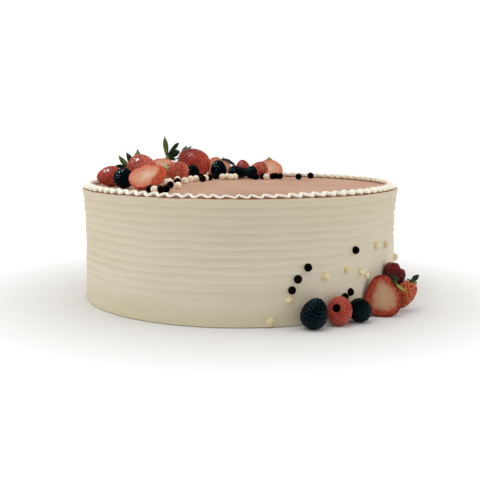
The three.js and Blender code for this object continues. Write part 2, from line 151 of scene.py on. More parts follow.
def make_piece(name, parts, finishes, stands_for=(), crease=None):
    """Writes the skins into one mesh object that rides on the cake, shaded smooth. With a crease, in
    degrees, sharper edges than that stay sharp."""
    points, faces, materials, marks = joined(parts)
    mesh = bpy.data.meshes.new(name)
    mesh.from_pydata((points * MM).tolist(), [], faces)
    mesh.polygons.foreach_set("material_index", materials)
    for label, values in marks.items():
        kind, field = ("FLOAT_VECTOR", "vector") if values.ndim > 1 else ("FLOAT", "value")
        mesh.attributes.new(label, kind, "POINT").data.foreach_set(field, values.astype(np.float32).ravel())
    for finish in finishes:
        mesh.materials.append(finish)
    mesh.shade_smooth()
    if crease:
        mesh.set_sharp_from_angle(angle=math.radians(crease))
    mesh.update()
    piece = bpy.data.objects.new(name, mesh)
    bpy.context.scene.collection.objects.link(piece)
    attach(piece, "root")
    if stands_for:
        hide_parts(*stands_for)
    size = (points.max(0) - points.min(0)).round(1)
    print(name, "has", len(faces), "faces and measures", size.tolist(), "mm")


# %% [markdown]
# ## Finishes from shader nodes
# Food is never one flat colour. Two effects serve most of it, so each is a node group: one lets a colour
# drift softly into another, and one gives a fine uneven grain for the Bump node. A few helpers keep the
# rest short: one adds a node with its inputs, others are the nodes that come back most, such as noise, a
# mix of colours or a mark read from the mesh. The last ones start a finish from a Principled shader and set
# what is the same all over on the shader itself. All patterns are laid out on Object coordinates or on
# marks, so they stay in place from wherever the cake is seen.


# %% Helpers for shader nodes
def node(tree, kind, inputs=(), output=0, **settings):
    """Adds a node, gives it its settings, links or sets its inputs and returns one output, or all for
    None."""
    made = tree.nodes.new("ShaderNode" + kind)
    for name, value in settings.items():
        setattr(made, name, value)
    for label, value in dict(inputs).items():
        if isinstance(value, bpy.types.NodeSocket):
            tree.links.new(value, made.inputs[label])
        else:
            made.inputs[label].default_value = value
    return made.outputs if output is None else made.outputs[output]


def calculated(tree, operation, *values):
    """A Math node on numbers or sockets."""
    return node(tree, "Math", dict(enumerate(values)), operation=operation)


def mixed(tree, factor, colour, other):
    """A mix of two colours: the first where the factor is 0, the other where it is 1."""
    return node(tree, "Mix", {"Factor": factor, "A": colour, "B": other}, "Result", data_type="RGBA")


def mark(tree, name, output="Fac"):
    """A value that the mesh keeps at its points."""
    return node(tree, "Attribute", output=output, attribute_name=name)


def own_place(tree):
    """Where a point lies on the object, in metres."""
    return node(tree, "TexCoord", output="Object")


def apart(tree, vector):
    """The X, Y and Z of a vector, as the outputs of one node."""
    return node(tree, "SeparateXYZ", {0: vector}, None)


def noise(tree, place, scale, detail, roughness=0.5):
    """Soft noise between 0 and 1, finer with more scale, and rougher with more detail."""
    inputs = {"Vector": place, "Scale": scale, "Detail": detail, "Roughness": roughness}
    return node(tree, "TexNoise", inputs, "Fac")


def map_range(tree, value, start, end, most=1.0, **settings):
    """A number that runs from 0 at the start to the most at the end, and stays so beyond them."""
    limits = {"Value": value, "From Min": start, "From Max": end, "To Max": most}
    return node(tree, "MapRange", limits, **settings)


def ramp(tree, factor, *stops):
    """A colour ramp fed by a socket. Each stop is a place and a colour, or a place and a grey."""
    made = node(tree, "ValToRGB", {"Fac": factor}, None)["Color"].node
    band = made.color_ramp
    while len(band.elements) < len(stops):
        band.elements.new(1.0)
    for element, (place, colour) in zip(band.elements, stops):
        element.position = place
        element.color = colour if isinstance(colour, tuple) else (colour, colour, colour, 1.0)
    return made.outputs["Color"]


def new_group(name, inputs, *outputs):
    """An empty group with named sockets. An input is a number or a colour by its first value, and an output
    is a number when it is called Height. Gives the group, its inputs to link from and its outputs to link
    to."""
    group = bpy.data.node_groups.new(name, "ShaderNodeTree")
    for label, value in inputs.items():
        kind = "NodeSocketFloat" if isinstance(value, float) else "NodeSocketColor"
        group.interface.new_socket(label, in_out="INPUT", socket_type=kind).default_value = value
    for label in outputs:
        kind = "NodeSocketFloat" if label == "Height" else "NodeSocketColor"
        group.interface.new_socket(label, in_out="OUTPUT", socket_type=kind)
    return group, group.nodes.new("NodeGroupInput").outputs, group.nodes.new("NodeGroupOutput").inputs


def use_group(tree, group, output=0, **values):
    """Places a node group, with _ for each blank in the names of its inputs."""
    inputs = {label.replace("_", " "): value for label, value in values.items()}
    return node(tree, "Group", inputs, output, node_tree=group)


# %% Make a node group for drifting colour and one for grain
def drawn_place(tree, upright):
    """The place on the object, with its height multiplied so that a pattern gets finer upwards."""
    factors = node(tree, "CombineXYZ", {"X": 1.0, "Y": 1.0, "Z": upright})
    return node(tree, "VectorMath", {0: own_place(tree), 1: factors}, operation="MULTIPLY")


WHITE = (1.0, 1.0, 1.0, 1.0)
drift, given, result = new_group(
    "drifting colour", {"Colour": WHITE, "Other Colour": WHITE, "Scale": 100.0, "Stretch Up": 1.0}, "Colour")
clouds = noise(drift, drawn_place(drift, given["Stretch Up"]), given["Scale"], 3.0)
in_other = ramp(drift, clouds, (0.4, 0.0), (0.6, 1.0))
drift.links.new(mixed(drift, in_other, given["Colour"], given["Other Colour"]), result["Colour"])

grain, given, result = new_group("uneven grain", {"Scale": 400.0, "Stretch Up": 1.0}, "Height")
grain.links.new(noise(grain, drawn_place(grain, given["Stretch Up"]), given["Scale"], 4.0), result["Height"])
print("groups:", drift.name, "and", grain.name)


# %% Start a finish
def shade(red, green, blue):
    """A colour as the eye reads it, 0 to 255, turned into the linear values that shaders use."""
    seen = np.array([red, green, blue]) / 255
    linear = np.where(seen > 0.04045, ((seen + 0.055) / 1.055) ** 2.4, seen / 12.92)
    return (*linear.tolist(), 1.0)


def new_finish(name, roughness, shine):
    """A material with a Principled shader. The shine is its specular level, which is 0.5 for plain
    plastic."""
    material = bpy.data.materials.new(name)
    material.use_nodes = True
    shader = material.node_tree.nodes["Principled BSDF"]
    shader.inputs["Roughness"].default_value = roughness
    shader.inputs["Specular IOR Level"].default_value = shine
    return material, material.node_tree, shader


def add_bump(tree, shader, height, distance, strength):
    """Lets a height tilt the normals of the skin and of the wet coat over it. The distance is in
    millimetres."""
    normal = node(tree, "Bump", {"Height": height, "Distance": distance * MM, "Strength": strength})
    tree.links.new(normal, shader.inputs["Normal"])
    tree.links.new(normal, shader.inputs["Coat Normal"])


JUICE_ROUGHNESS = 0.06


def food(name, roughness, shine, surface, colours, sheen=WHITE, relief=grain, wet=0.0, **values):
    """A finish coloured by a node group. The surface gives the fineness of its relief, its depth in
    millimetres, its strength, and how much finer it is upwards. The sheen is the colour of what it mirrors,
    and wet is how much of it lies under a smooth coat of juice, from 0 to 1."""
    material, tree, shader = new_finish(name, roughness, shine)
    shader.inputs["Specular Tint"].default_value = sheen
    shader.inputs["Coat Weight"].default_value = wet
    shader.inputs["Coat Roughness"].default_value = JUICE_ROUGHNESS
    fineness, depth, strength, upwards = surface
    tree.links.new(use_group(tree, colours, **values), shader.inputs["Base Color"])
    add_bump(tree, shader, use_group(tree, relief, Scale=fineness, Stretch_Up=upwards), depth, strength)
    return material


# %% [markdown]
# ## The combed icing
# The side was drawn with a comb while the cake turned, which leaves soft ridges, each of them proudest at
# its lower edge. They fade out towards the foot, and sooner round the pearls, where the icing was patted
# smooth. The wall is a surface of two parameters: the turn round the cake and the height. A few sines with
# odd phases make the ridges wander and deepen as a hand does. Where a pearl was pressed in, the icing
# swells a little round it. A sculpted or displaced mesh could look the same, but a formula keeps every size
# in sight.


# %% Small helpers for round shapes
def stacked(x, y, z):
    """Three coordinates as one array of points, each spread over the same rows and sides."""
    return np.stack(np.broadcast_arrays(x, y, z), axis=-1)


def round_steps(count):
    """Even steps round a circle, in radians."""
    return 2 * np.pi * np.arange(count) / count


def ring_at(radius, turn, level):
    """Points at a radius and a turn round the upright axis."""
    return stacked(radius * np.cos(turn), radius * np.sin(turn), level)


def eased(share):
    """A share that starts and ends slowly: three times its square less twice its cube."""
    return share * share * (3 - 2 * share)


# %% Sizes of the cake
CAKE_RADIUS = 127.0
RIDGES_STAND_OUT = 0.6
LIP_TOP = 88.4
LIP_WIDTH = 2.0
FLARE = 1.6
FLARE_FROM = 68.0
TOE = 0.5
TOE_TOP = 6.0
SEAT = 87.4
GLAZE_TOP = 88.8
GLAZE_RADIUS = 126.3
RIDGE_PITCH = 5.85
RIDGE_DEPTH = 0.8
RIDGE_STEP = 1.2
RIDGES_FROM = 8.0
RIDGES_FULL = 38.0
TOP_GROOVE = 82.2
PATTED_BEARING = -42
PATTED_SPREAD = 0.6
PEARL_RADIUS = 3.0
SWELL_HEIGHT = 0.5
SWELL_WIDTH = 1.1
DARK_SIDE_PEARLS = np.array([
    (-50.1, 49.2), (-68.8, 40.5), (-72.2, 32.7), (-74.1, 25.3), (-52.2, 19.4), (-54.7, 16.4)])
CREAM_SIDE_PEARLS = np.array([
    (-38.2, 49.8), (-30.6, 48.6), (-13.5, 32.7), (-53.8, 36), (-47.3, 32.7), (-43.9, 28.9), (-62.5, 33.1),
    (-74.8, 18.8), (-80.8, 3.7)])


# %% Shape of the wall
def wander(turn, seed, waves=7, most=24):
    """A sum of sines round the cake with set phases, between about -1 and 1, that meets itself."""
    made = np.random.default_rng(seed)
    phases = made.uniform(0, 2 * np.pi, waves)
    counts = made.integers(2, most, waves)
    return sum(np.sin(n * turn + p) for n, p in zip(counts, phases)) / waves ** 0.5


def off_bearing(turn, bearing):
    """How far a turn lies from a bearing in degrees, the short way round, in radians."""
    return np.mod(turn - np.radians(bearing) + np.pi, 2 * np.pi) - np.pi


def icing_radius(turn, height):
    """The wall: a straight side, a flare at the rim and a toe at the foot, minus the comb's ridges, plus a
    ring of pushed-up icing round each pearl. Within a ridge the surface leans out as the square of the way
    down, and at its lower edge it steps back in. The ridges fade near the foot, and higher up where the
    pearls were patted in. Also gives how proud the ridge stands, from 0 in a groove to 1 at a lower edge,
    for painted light on the proud edges and painted shade in the grooves."""
    flare = FLARE * np.clip((height - FLARE_FROM) / (LIP_TOP - FLARE_FROM), 0, None)
    toe = TOE * np.clip(1 - height / TOE_TOP, 0, None)
    down = (TOP_GROOVE - height) / RIDGE_PITCH
    number = np.floor(down)
    for ridge in range(-1, 14):
        down = down + (number == ridge) * 0.07 * wander(turn, 200 + ridge)
    down = down + 0.05 * wander(turn, 15)
    within = down - np.floor(down)
    step = eased(np.clip((1 - within) * RIDGE_PITCH / RIDGE_STEP, 0, 1))
    uneven = 1 + 0.3 * wander(turn + 0.7 * np.floor(down), 40)
    patted = np.exp(-((off_bearing(turn, PATTED_BEARING) / PATTED_SPREAD) ** 2))
    smooth_foot = RIDGES_FROM + 24 * patted
    above_foot = np.clip((height - smooth_foot) / (RIDGES_FULL - RIDGES_FROM + 20 * patted), 0, 1)
    fade = above_foot * np.clip((86 - height) / 3, 0, 1)
    proud = within ** 2 * step
    groove = RIDGE_DEPTH * uneven * fade * (1 - proud)
    slow = 0.12 * wander(turn + height / 60, 90)
    swell = np.zeros_like(groove)
    for bearing, level in np.concatenate([DARK_SIDE_PEARLS, CREAM_SIDE_PEARLS]):
        away = np.hypot(off_bearing(turn, bearing) * CAKE_RADIUS, height - level)
        swell += SWELL_HEIGHT * np.exp(-(((away - PEARL_RADIUS - 0.4) / SWELL_WIDTH) ** 2))
    radius = CAKE_RADIUS + RIDGES_STAND_OUT + flare + toe - groove + slow + swell
    return radius, 0.3 + fade * (proud - 0.3)


# %% [markdown]
# ### What colours the icing
# Whipped cream icing is warm white and nearly matt. Higher up it gets painted shade, and at the foot painted
# shade with a yellow-green reflected tint. Its ridges get painted light on their proud lower edges and
# painted shade in the grooves. The lip at the rim has a thin brown band in front, under the rope.

# %% Finish of the icing
icing, tree, shader = new_finish("cream icing", 0.55, 0.05)
place = apart(tree, own_place(tree))
tint = use_group(
    tree, drift, Colour=shade(224, 214, 194), Other_Colour=shade(219, 208, 184), Scale=14.0, Stretch_Up=5.0)
# Painted shade: the icing is darkened higher up, towards the rim.
tint = mixed(tree, map_range(tree, place["Z"], 20 * MM, 85 * MM), tint, shade(209, 198, 174))
# Painted shade with a yellow-green reflected tint at the foot.
tint = mixed(tree, map_range(tree, place["Z"], 16 * MM, 4 * MM, 0.7), tint, shade(214, 205, 173))
# Painted light on the proud lower edges of the ridges and painted shade in the grooves.
painted_ridge_light_and_shade = calculated(tree, "MULTIPLY_ADD", mark(tree, "proud"), 0.13, 0.96)
tint = node(tree, "HueSaturation", {"Color": tint, "Value": painted_ridge_light_and_shade})
# A thin brown band on the lip, only in front, under the rope.
on_lip = map_range(tree, place["Z"], 88.1 * MM, 88.3 * MM)
in_front = map_range(tree, place["Y"], -50 * MM, -85 * MM)
lip_band_colour = use_group(tree, drift, Colour=shade(176, 114, 82), Other_Colour=shade(218, 196, 166), Scale=60.0)
lip_band = calculated(tree, "MULTIPLY", on_lip, in_front)
tree.links.new(mixed(tree, lip_band, tint, lip_band_colour), shader.inputs["Base Color"])
add_bump(tree, shader, use_group(tree, grain, Scale=26.0, Stretch_Up=34.0), 0.3, 0.3)

# %% Make the icing
turns = round_steps(256)
heights = np.linspace(0, 87.6, 240)[:, None]
wall, proud = icing_radius(turns[None, :], heights)
edge = [
    (wall[-1] - 0.15, 88.15), (wall[-1] - 0.6, LIP_TOP), (wall[-1] - LIP_WIDTH + 0.4, LIP_TOP),
    (wall[-1] - LIP_WIDTH, 88.1), (wall[-1] - LIP_WIDTH, SEAT), (wall[-1] * 0.5, SEAT), (wall[-1] * 0, SEAT)]
foot = [(wall[0] * 0, 0.0), (wall[0] * 0.5, 0.0), (wall[0] - 0.5, 0.0)]
radii = np.concatenate([[radius for radius, _ in foot], wall[1:], [radius for radius, _ in edge]])
levels = np.concatenate([[level for _, level in foot], heights[1:, 0], [level for _, level in edge]])
proud = np.pad(proud[1:], ((len(foot), len(edge)), (0, 0)), constant_values=0.3)
rings = ring_at(radii, turns, levels[:, None])
make_piece("icing", [skin(rings, {"proud": proud})], [icing], ["cake_body"], crease=50)

# %% [markdown]
# ## The glaze
# Milk-chocolate glaze was poured on the top and set to a thin, level, satin sheet. It is a flat disc with a
# rounded edge, so the work is in its finish: faint clouds where it cooled, and a darker reddish brown at
# the very rim, where the sheet gets thin and the fat shows through. At the left the brown band is wider:
# that wider part is painted shade between the berries and the rope.

# %% Make the glaze
glaze, tree, shader = new_finish("milk chocolate glaze", 0.42, 0.03)
cloud = use_group(tree, drift, Colour=shade(214, 173, 149), Other_Colour=shade(204, 160, 134), Scale=16.0)
rim_and_painted_shade = ramp(tree, mark(tree, "from_axis"), (0.95, 0.0), (0.972, 1.0))
# Painted shade: at the left the brown rim band widens into the shade between the berries and the rope.
painted_shade_band = ramp(tree, mark(tree, "from_axis"), (0.88, 0.0), (0.94, 1.0))
painted_shade_left = map_range(tree, apart(tree, own_place(tree))["X"], -60 * MM, -100 * MM, 0.7)
rim_and_painted_shade = calculated(tree, "MAXIMUM", rim_and_painted_shade, calculated(tree, "MULTIPLY", painted_shade_band, painted_shade_left))
tree.links.new(mixed(tree, rim_and_painted_shade, cloud, shade(150, 88, 60)), shader.inputs["Base Color"])
add_bump(tree, shader, use_group(tree, grain, Scale=45.0), 0.25, 0.25)
profile = [(0, 87.7), (60, 87.7), (GLAZE_RADIUS - 0.3, 87.7), (GLAZE_RADIUS, 87.95), (GLAZE_RADIUS, 88.5),
           (GLAZE_RADIUS - 0.3, GLAZE_TOP)]
profile += [(radius, GLAZE_TOP) for radius in (125, 123, 121, 119, 115, 105, 85, 60, 30, 0)]
radii, levels = np.array(profile, float).T[:, :, None]
sheet = skin(ring_at(radii, turns, levels), {"from_axis": radii / GLAZE_RADIUS})
make_piece("glaze_sheet", [sheet], [glaze], ["glaze"], crease=60)

# %% [markdown]
# ## The piped rope
# A small star tip was led round the rim in a flat zigzag, so each loop leans on the one before. The line of
# the rope is a circle with a swing inwards and upwards added to it, and the strand is a tube carried along
# that line. Its section is a star with soft points that twists as it goes. No two loops of a piped rope are
# alike, so the swing and the thickness vary a little from loop to loop. Light sinks a little way into
# buttercream, which lifts the shade between the loops, and subsurface scattering does that. A curve object
# with a bevel could carry the tube too, but it can't twist the star and change the thickness so freely.

# %% Finish of the rope
piping = food(
    "piped icing", 0.5, 0.05, (420.0, 0.25, 0.5, 1.0), drift,
    Colour=shade(253, 247, 232), Other_Colour=shade(248, 238, 217), Scale=120.0)
shader = piping.node_tree.nodes["Principled BSDF"]
shader.inputs["Subsurface Weight"].default_value = 0.8
shader.inputs["Subsurface Radius"].default_value = (1.0, 1.0, 1.0)
shader.inputs["Subsurface Scale"].default_value = 2.3 * MM

# %% Make the rope
ROPE_LOOPS = 88
STEPS_IN_LOOP = 18
ROPE_RADIUS = 124.5
ROPE_SWING = 2.4
ROPE_RISE = 0.5
THINNEST_STRAND = 0.9


def unit(vectors):
    """Vectors brought to a length of 1."""
    return vectors / np.maximum(np.linalg.norm(vectors, axis=-1, keepdims=True), 1e-9)


def rope_line(share):
    """A circle whose radius swings to both sides while its height swings up and down a little, once each
    loop, over a lip that it touches at the low places. The strand's radius is least at the front, where the
    tip was moved fastest, and nearly twice that at the back. At both sides it is thicker and swings
    less."""
    turn = 2 * np.pi * share
    at_side = np.clip(np.maximum((-np.cos(turn) - 0.4) / 0.25, (np.cos(turn) - 0.1) / 0.3), 0, 1)
    wind = turn * ROPE_LOOPS
    late = 0.3 * wander(turn, seed=4, waves=16, most=60)
    swing = (1 + 0.13 * wander(turn, seed=3, waves=16, most=70)) * np.cos(wind + late)
    strand = THINNEST_STRAND + 0.75 * np.sqrt((1 + np.sin(turn)) / 2) + 0.35 * at_side
    strand = strand + 0.05 * wander(turn, seed=5, waves=16, most=60)
    radius = ROPE_RADIUS - (ROPE_SWING - 0.6 * at_side) * swing
    level = LIP_TOP + strand + ROPE_RISE * (1 + swing) - 0.1
    ahead = turn - 0.7 / ROPE_RADIUS * np.cos(wind)
    return ring_at(radius, ahead, level), strand + 0.14 * swing


def tube(line, thickness, sides, lobes, twist):
    """Carries a star section along a closed line: at each point two directions square to the line, one of
    them as near to upright as can be, hold a ring whose radius swells at each lobe."""
    ahead = unit(np.roll(line, -1, axis=0) - np.roll(line, 1, axis=0))
    across = unit(np.cross(ahead, (0, 0, 1)))
    upright = np.cross(across, ahead)
    around = round_steps(sides)
    star = 1 + 0.1 * np.cos(lobes * around + twist[:, None])
    reach = (thickness[:, None] * star)[:, :, None]
    return line[:, None] + reach * (
        np.cos(around)[None, :, None] * across[:, None] + np.sin(around)[None, :, None] * upright[:, None])


steps = np.arange(ROPE_LOOPS * STEPS_IN_LOOP) / (ROPE_LOOPS * STEPS_IN_LOOP)
line, strand = rope_line(steps)
rope = tube(line, strand, sides=15, lobes=5, twist=2 * np.pi * steps * ROPE_LOOPS)
make_piece("rope", [skin(rope, closed_path=True)], [piping], ["piped_rope"])

# %% [markdown]
# ## The pearls
# Crunchy pearls are balls of puffed rice in a chocolate shell, so they are round, but never perfectly. One
# small ball with few faces is enough for each, pushed in and out a little by its own sines. Those on top
# sit on the glaze, and those on the side are pressed into the icing by nearly half, the cream ones towards
# the front a little deeper. Copies of one object would be lighter, but each pearl is a little different,
# and all the pearls of one kind make one piece.

# %% Places of the pearls on top
DARK_PEARLS = np.array([
    (-66, -79), (-57.8, -83), (-54.2, -78), (-55, -36), (-52.6, 6), (-33.1, 40), (-35.6, 68), (-27.8, 60),
    (-22.5, 77.5), (14.6, 70), (21.6, 76.5), (30.6, 78), (33.8, 84.4), (37.5, 79), (54.5, 73), (67, 88)])
CREAM_PEARLS = np.array([
    (-62, -83.6), (-48.2, -43.6), (-61, -5), (-59, 2.5), (-55, 33.5), (-47.1, 14.4), (-43.6, 37.5),
    (-39.2, 42.5), (-31.2, 52.5), (-16.3, 69), (-11.9, 72.8), (-8.7, 67), (-4.7, 71.2), (24.4, 70)])


def on_glaze(places):
    """Middles of pearls that rest on the glaze."""
    return np.column_stack([places, np.full(len(places), GLAZE_TOP + PEARL_RADIUS - 0.3)])


def on_wall(places, stand_out):
    """Middles of pearls in the wall, from degrees round the cake and height."""
    return ring_at(CAKE_RADIUS + stand_out, np.radians(places[:, 0] + 0.3), places[:, 1])


def pearl(middle, seed):
    """A ball of 14 sides and 9 rows with a slightly uneven radius."""
    around = round_steps(14)
    down = np.linspace(0, np.pi, 10)[:, None]
    made = np.random.default_rng(seed)
    phase = made.uniform(0, 6.28, 3)
    bumpy = np.sin(3 * around + phase[0]) * np.sin(2 * down + phase[1]) + np.sin(2 * around + phase[2])
    radius = PEARL_RADIUS * made.uniform(0.97, 1.03) * (1 + 0.018 * bumpy * np.sin(down))
    return skin(ring_at(radius * np.sin(down), around, radius * np.cos(down)) + middle)


# %% Finish and make the pearls
PITS = (700.0, 0.3, 0.4, 1.0)
dark_shell = food(
    "dark chocolate shell", 0.25, 0.02, PITS, drift,
    Colour=shade(4, 3, 5), Other_Colour=shade(17, 9, 10), Scale=300.0)
cream_shell = food(
    "white chocolate shell", 0.42, 0.1, PITS, drift,
    Colour=shade(255, 250, 232), Other_Colour=shade(250, 236, 204), Scale=260.0)
buttery_shell = food(
    "white chocolate in icing", 0.5, 0.1, PITS, drift,
    Colour=shade(224, 206, 154), Other_Colour=shade(232, 220, 186), Scale=220.0)
at_right = CREAM_SIDE_PEARLS[:, 0] > -40
cream_middles = np.concatenate([
    on_wall(CREAM_SIDE_PEARLS[at_right], 1.0), on_wall(CREAM_SIDE_PEARLS[~at_right], 0.2)])
for name, places, finish, slot in (
        ("dark_pearls_on_top", on_glaze(DARK_PEARLS), dark_shell, "glaze"),
        ("cream_pearls_on_top", on_glaze(CREAM_PEARLS), cream_shell, "piping"),
        ("dark_pearls_in_side", on_wall(DARK_SIDE_PEARLS, 1.0), dark_shell, "glaze"),
        ("cream_pearls_in_side", cream_middles, buttery_shell, "icing")):
    balls = [pearl(middle, 7 * number) for number, middle in enumerate(places)]
    make_piece(name, balls, [finish])

# %% [markdown]
# ## How a berry is turned and set down
# Each berry is shaped upright about its own middle, with its stem end up. Three directions turn it: the way
# its stem end points, the way its front looks, and the side that is square to both. It is then moved so
# that the middle of its box lies where the middle of its solid's box lies, and so it rests where the solid
# rests. The turn and the move go into the points themselves, and the object stays at the origin. Two pieces
# whose outline is fuller on one side than their solid's are nudged a little from there.


# %% Turn a berry and find its place
def turning(stem, front=(0, -1, 0)):
    """Columns of the turn: side, back and up, all square to each other."""
    up = unit(np.array(stem, float))
    back = -np.array(front, float)
    back = unit(back - back.dot(up) * up)
    return np.column_stack([np.cross(back, up), back, up])


NUDGES = {"half_1": (0, -0.46, -0.74), "bramble_2": (1.2, 0, 0.2)}


def moved(parts, turn=np.eye(3), shift=0):
    """The skins turned first and shifted then."""
    return [{**part, "points": part["points"] @ turn.T + shift} for part in parts]


def put_in_place(name, parts, turn, measured=1):
    """Turns the skins and moves them so that the box of the first ones, or of all for None, is centred on
    the solid's box. Also gives how far they were moved."""
    turned = moved(parts, turn)
    low, high = (np.array(corner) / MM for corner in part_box(name))
    used = np.concatenate([part["points"] for part in turned[:measured]])
    shift = (low + high) / 2 - (used.min(0) + used.max(0)) / 2 + np.array(NUDGES.get(name, (0, 0, 0)))
    return moved(turned, shift=shift), shift


# %% Outline of a berry
def egg(angle, taper):
    """Radius and height in shares of half the width and half the length. The angle runs from the tip to the
    stem end, and the taper moves the widest place towards the stem end."""
    widest_angle = np.pi / 2 + 0.9 * taper
    widest = np.sin(widest_angle) * (1 - taper * np.cos(widest_angle))
    return np.sin(angle) * (1 - taper * np.cos(angle)) / widest, -np.cos(angle)


def spiral(count):
    """Evenly spread places on an egg: each is the golden angle further round and the same area further
    up."""
    number = np.arange(count) + 0.5
    return np.arccos(1 - 2 * number / count) / np.pi, number * np.pi * (3 - 5 ** 0.5)


def grid(sides, rows):
    """Turns round the axis, and shares of the way from tip to stem end, ready to be spread over each
    other."""
    return round_steps(sides), np.linspace(0, 1, rows + 1)[:, None]


# %% [markdown]
# ## Raspberries and brambles
# Both fruits are clusters of little juicy drupelets packed like balls in nets: rings of them, each ring
# half a step round from the one below. On the skin of the berry, every point knows its nearest drupelet and
# how far away its middle is, and it is raised by the height of a small dome there. Between the domes the
# skin dips, and that dip is kept as a mark, because the creases get painted shade. The well of the hollow
# berry gets painted shade too. A hundred small balls would look much the same from afar, but they would
# cut through each other and leave the berry's skin open.


# %% Raise the drupelets on a berry
def drupelet_places(long, wide, size):
    """Middles of drupelets, ring by ring: as many as fit round each ring, each ring turned by half a
    step."""
    rings_up = max(4, round(np.pi * (long + wide) / 4 / (size * 0.86)))
    ways, around = [], []
    for ring in range(rings_up):
        way = (ring + 0.5) / rings_up
        count = max(1, round(np.pi * wide * np.sin(np.pi * way) / size))
        ways += [way] * count
        around += list(2 * np.pi * (np.arange(count) + 0.5 * (ring % 2)) / count)
    aside = np.random.default_rng(len(ways)).uniform(-0.12, 0.12, (2, len(ways)))
    return np.array(ways) + aside[0] / rings_up, np.array(around) + aside[1] * size / wide * 2


def berry_points(way, turn, long, wide, squeeze=1.0):
    """The smooth berry under the drupelets, a slightly tapered egg."""
    out, up = egg(np.pi * way, 0.2)
    radius = wide / 2 * out
    return stacked(squeeze * radius * np.cos(turn), radius * np.sin(turn), long / 2 * up)


def raised(points, middles, size, height, seed):
    """Lifts points by a dome over each drupelet. Where the nearest middle and the next one are equally far,
    two drupelets meet and the skin dips. From there the lift grows as a quarter circle."""
    flat = points.reshape(-1, 3)
    away = np.linalg.norm(flat[:, None] - middles[None], axis=2)
    nearest = away.argmin(axis=1)
    first, second = np.partition(away, 1, axis=1)[:, :2].T
    dome = np.sqrt(1 - (1 - np.clip(1.15 * (second - first) / size, 0, 1)) ** 2)
    tints = np.random.default_rng(seed).uniform(0, 1, len(middles))
    lifted = flat - unit(flat) * (height * (1 - dome))[:, None]
    grid_shape = points.shape[:2]
    return lifted.reshape(points.shape), dome.reshape(grid_shape), tints[nearest].reshape(grid_shape)


def drupelet_berry(long, wide, size, height, seed, sides=104, rows=72):
    """A whole berry of drupelets."""
    turn, way = grid(sides, rows)
    middles = berry_points(*drupelet_places(long, wide, size), long, wide)
    smooth = berry_points(way, turn, long * 1.04, wide * 1.04)
    points, dome, tint = raised(smooth, middles, size, height, seed)
    return skin(points, {"dome": dome, "tint": tint})


# %% Shape of the berry off its core
MOUTH = 0.29
MOUTH_AT = 0.62
MOUTH_ASIDE = (-1.6, 1.1)
SHOULDER = 0.8


def hollow_berry(long, wide, squeeze, size, seed, sides=112, rows=96):
    """A berry off its core: the outline runs up to the shoulder, bends over a soft rim to the mouth and
    goes down inside as a straight well with a round bottom. The mouth lies a little aside of the axis."""
    turn, way = grid(sides, rows)
    out, up = egg(np.pi * SHOULDER * np.clip(way / MOUTH_AT, 0, 1), 0.2)
    rim_out, rim_up = egg(np.array(SHOULDER * np.pi), 0.2)
    inside = np.clip((way - MOUTH_AT) / (1 - MOUTH_AT), 0, 1)
    bend = np.clip(3 * inside, 0, 1)
    down = np.clip((3 * inside - 1) / 2, 0, 1)
    out = np.where(inside > 0, rim_out + (MOUTH - rim_out) * bend, out)
    out = np.where(inside > 0.75, MOUTH * np.sqrt(np.clip(1 - ((inside - 0.75) / 0.25) ** 2, 0, 1)), out)
    up = np.where(inside > 0, rim_up + 0.1 * np.sin(np.pi * bend * 0.6) - 1.2 * down, up)
    radius = 1.03 * wide / 2 * out
    to_hole = eased(bend)
    smooth = stacked(
        (squeeze + 0.1 * to_hole) * radius * np.cos(turn) + MOUTH_ASIDE[0] * to_hole,
        radius * np.sin(turn) + MOUTH_ASIDE[1] * to_hole, 1.02 * long / 2 * up)
    ways, around = drupelet_places(long, wide, size)
    outer = ways < SHOULDER
    middles = berry_points(ways[outer], around[outer], long, wide, squeeze)
    rim_turn = round_steps(11)
    rim_radius = wide / 2 * (rim_out + MOUTH) / 2
    rim = stacked(
        squeeze * rim_radius * np.cos(rim_turn), rim_radius * np.sin(rim_turn), long / 2 * (rim_up + 0.07))
    points, dome, tint = raised(smooth, np.concatenate([middles, rim]), size, 0.13 * size, seed)
    return skin(points, {"dome": dome, "tint": tint, "depth": down})


# %% Finishes of raspberry and bramble
drupelets, given, result = new_group(
    "drupelet colours", dict.fromkeys(("Crease", "Top", "Light Top", "Hollow"), WHITE), "Colour")
own = mixed(drupelets, mark(drupelets, "tint"), given["Top"], given["Light Top"])
# Painted shade in the creases between the drupelets.
raised_share = ramp(drupelets, mark(drupelets, "dome"), (0.1, 0.0), (0.75, 1.0))
creased = mixed(drupelets, raised_share, given["Crease"], own)
# Painted shade deep in the well of a hollow berry.
deep_share = ramp(drupelets, mark(drupelets, "depth"), (0.05, 0.0), (0.6, 1.0))
drupelets.links.new(mixed(drupelets, deep_share, creased, given["Hollow"]), result["Colour"])
raspberry = food(
    "raspberry", 0.26, 0.2, (900.0, 0.15, 0.3, 1.0), drupelets, wet=0.25,
    Crease=shade(138, 44, 37), Top=shade(162, 57, 46), Light_Top=shade(188, 84, 67),
    Hollow=shade(46, 12, 10))
bramble = food(
    "bramble", 0.16, 0.14, (500.0, 0.06, 0.3, 1.0), drupelets, sheen=(0.3, 0.85, 1.0, 1.0),
    Crease=shade(0, 0, 1), Top=shade(0, 5, 7), Light_Top=shade(1, 10, 14), Hollow=shade(0, 0, 0))

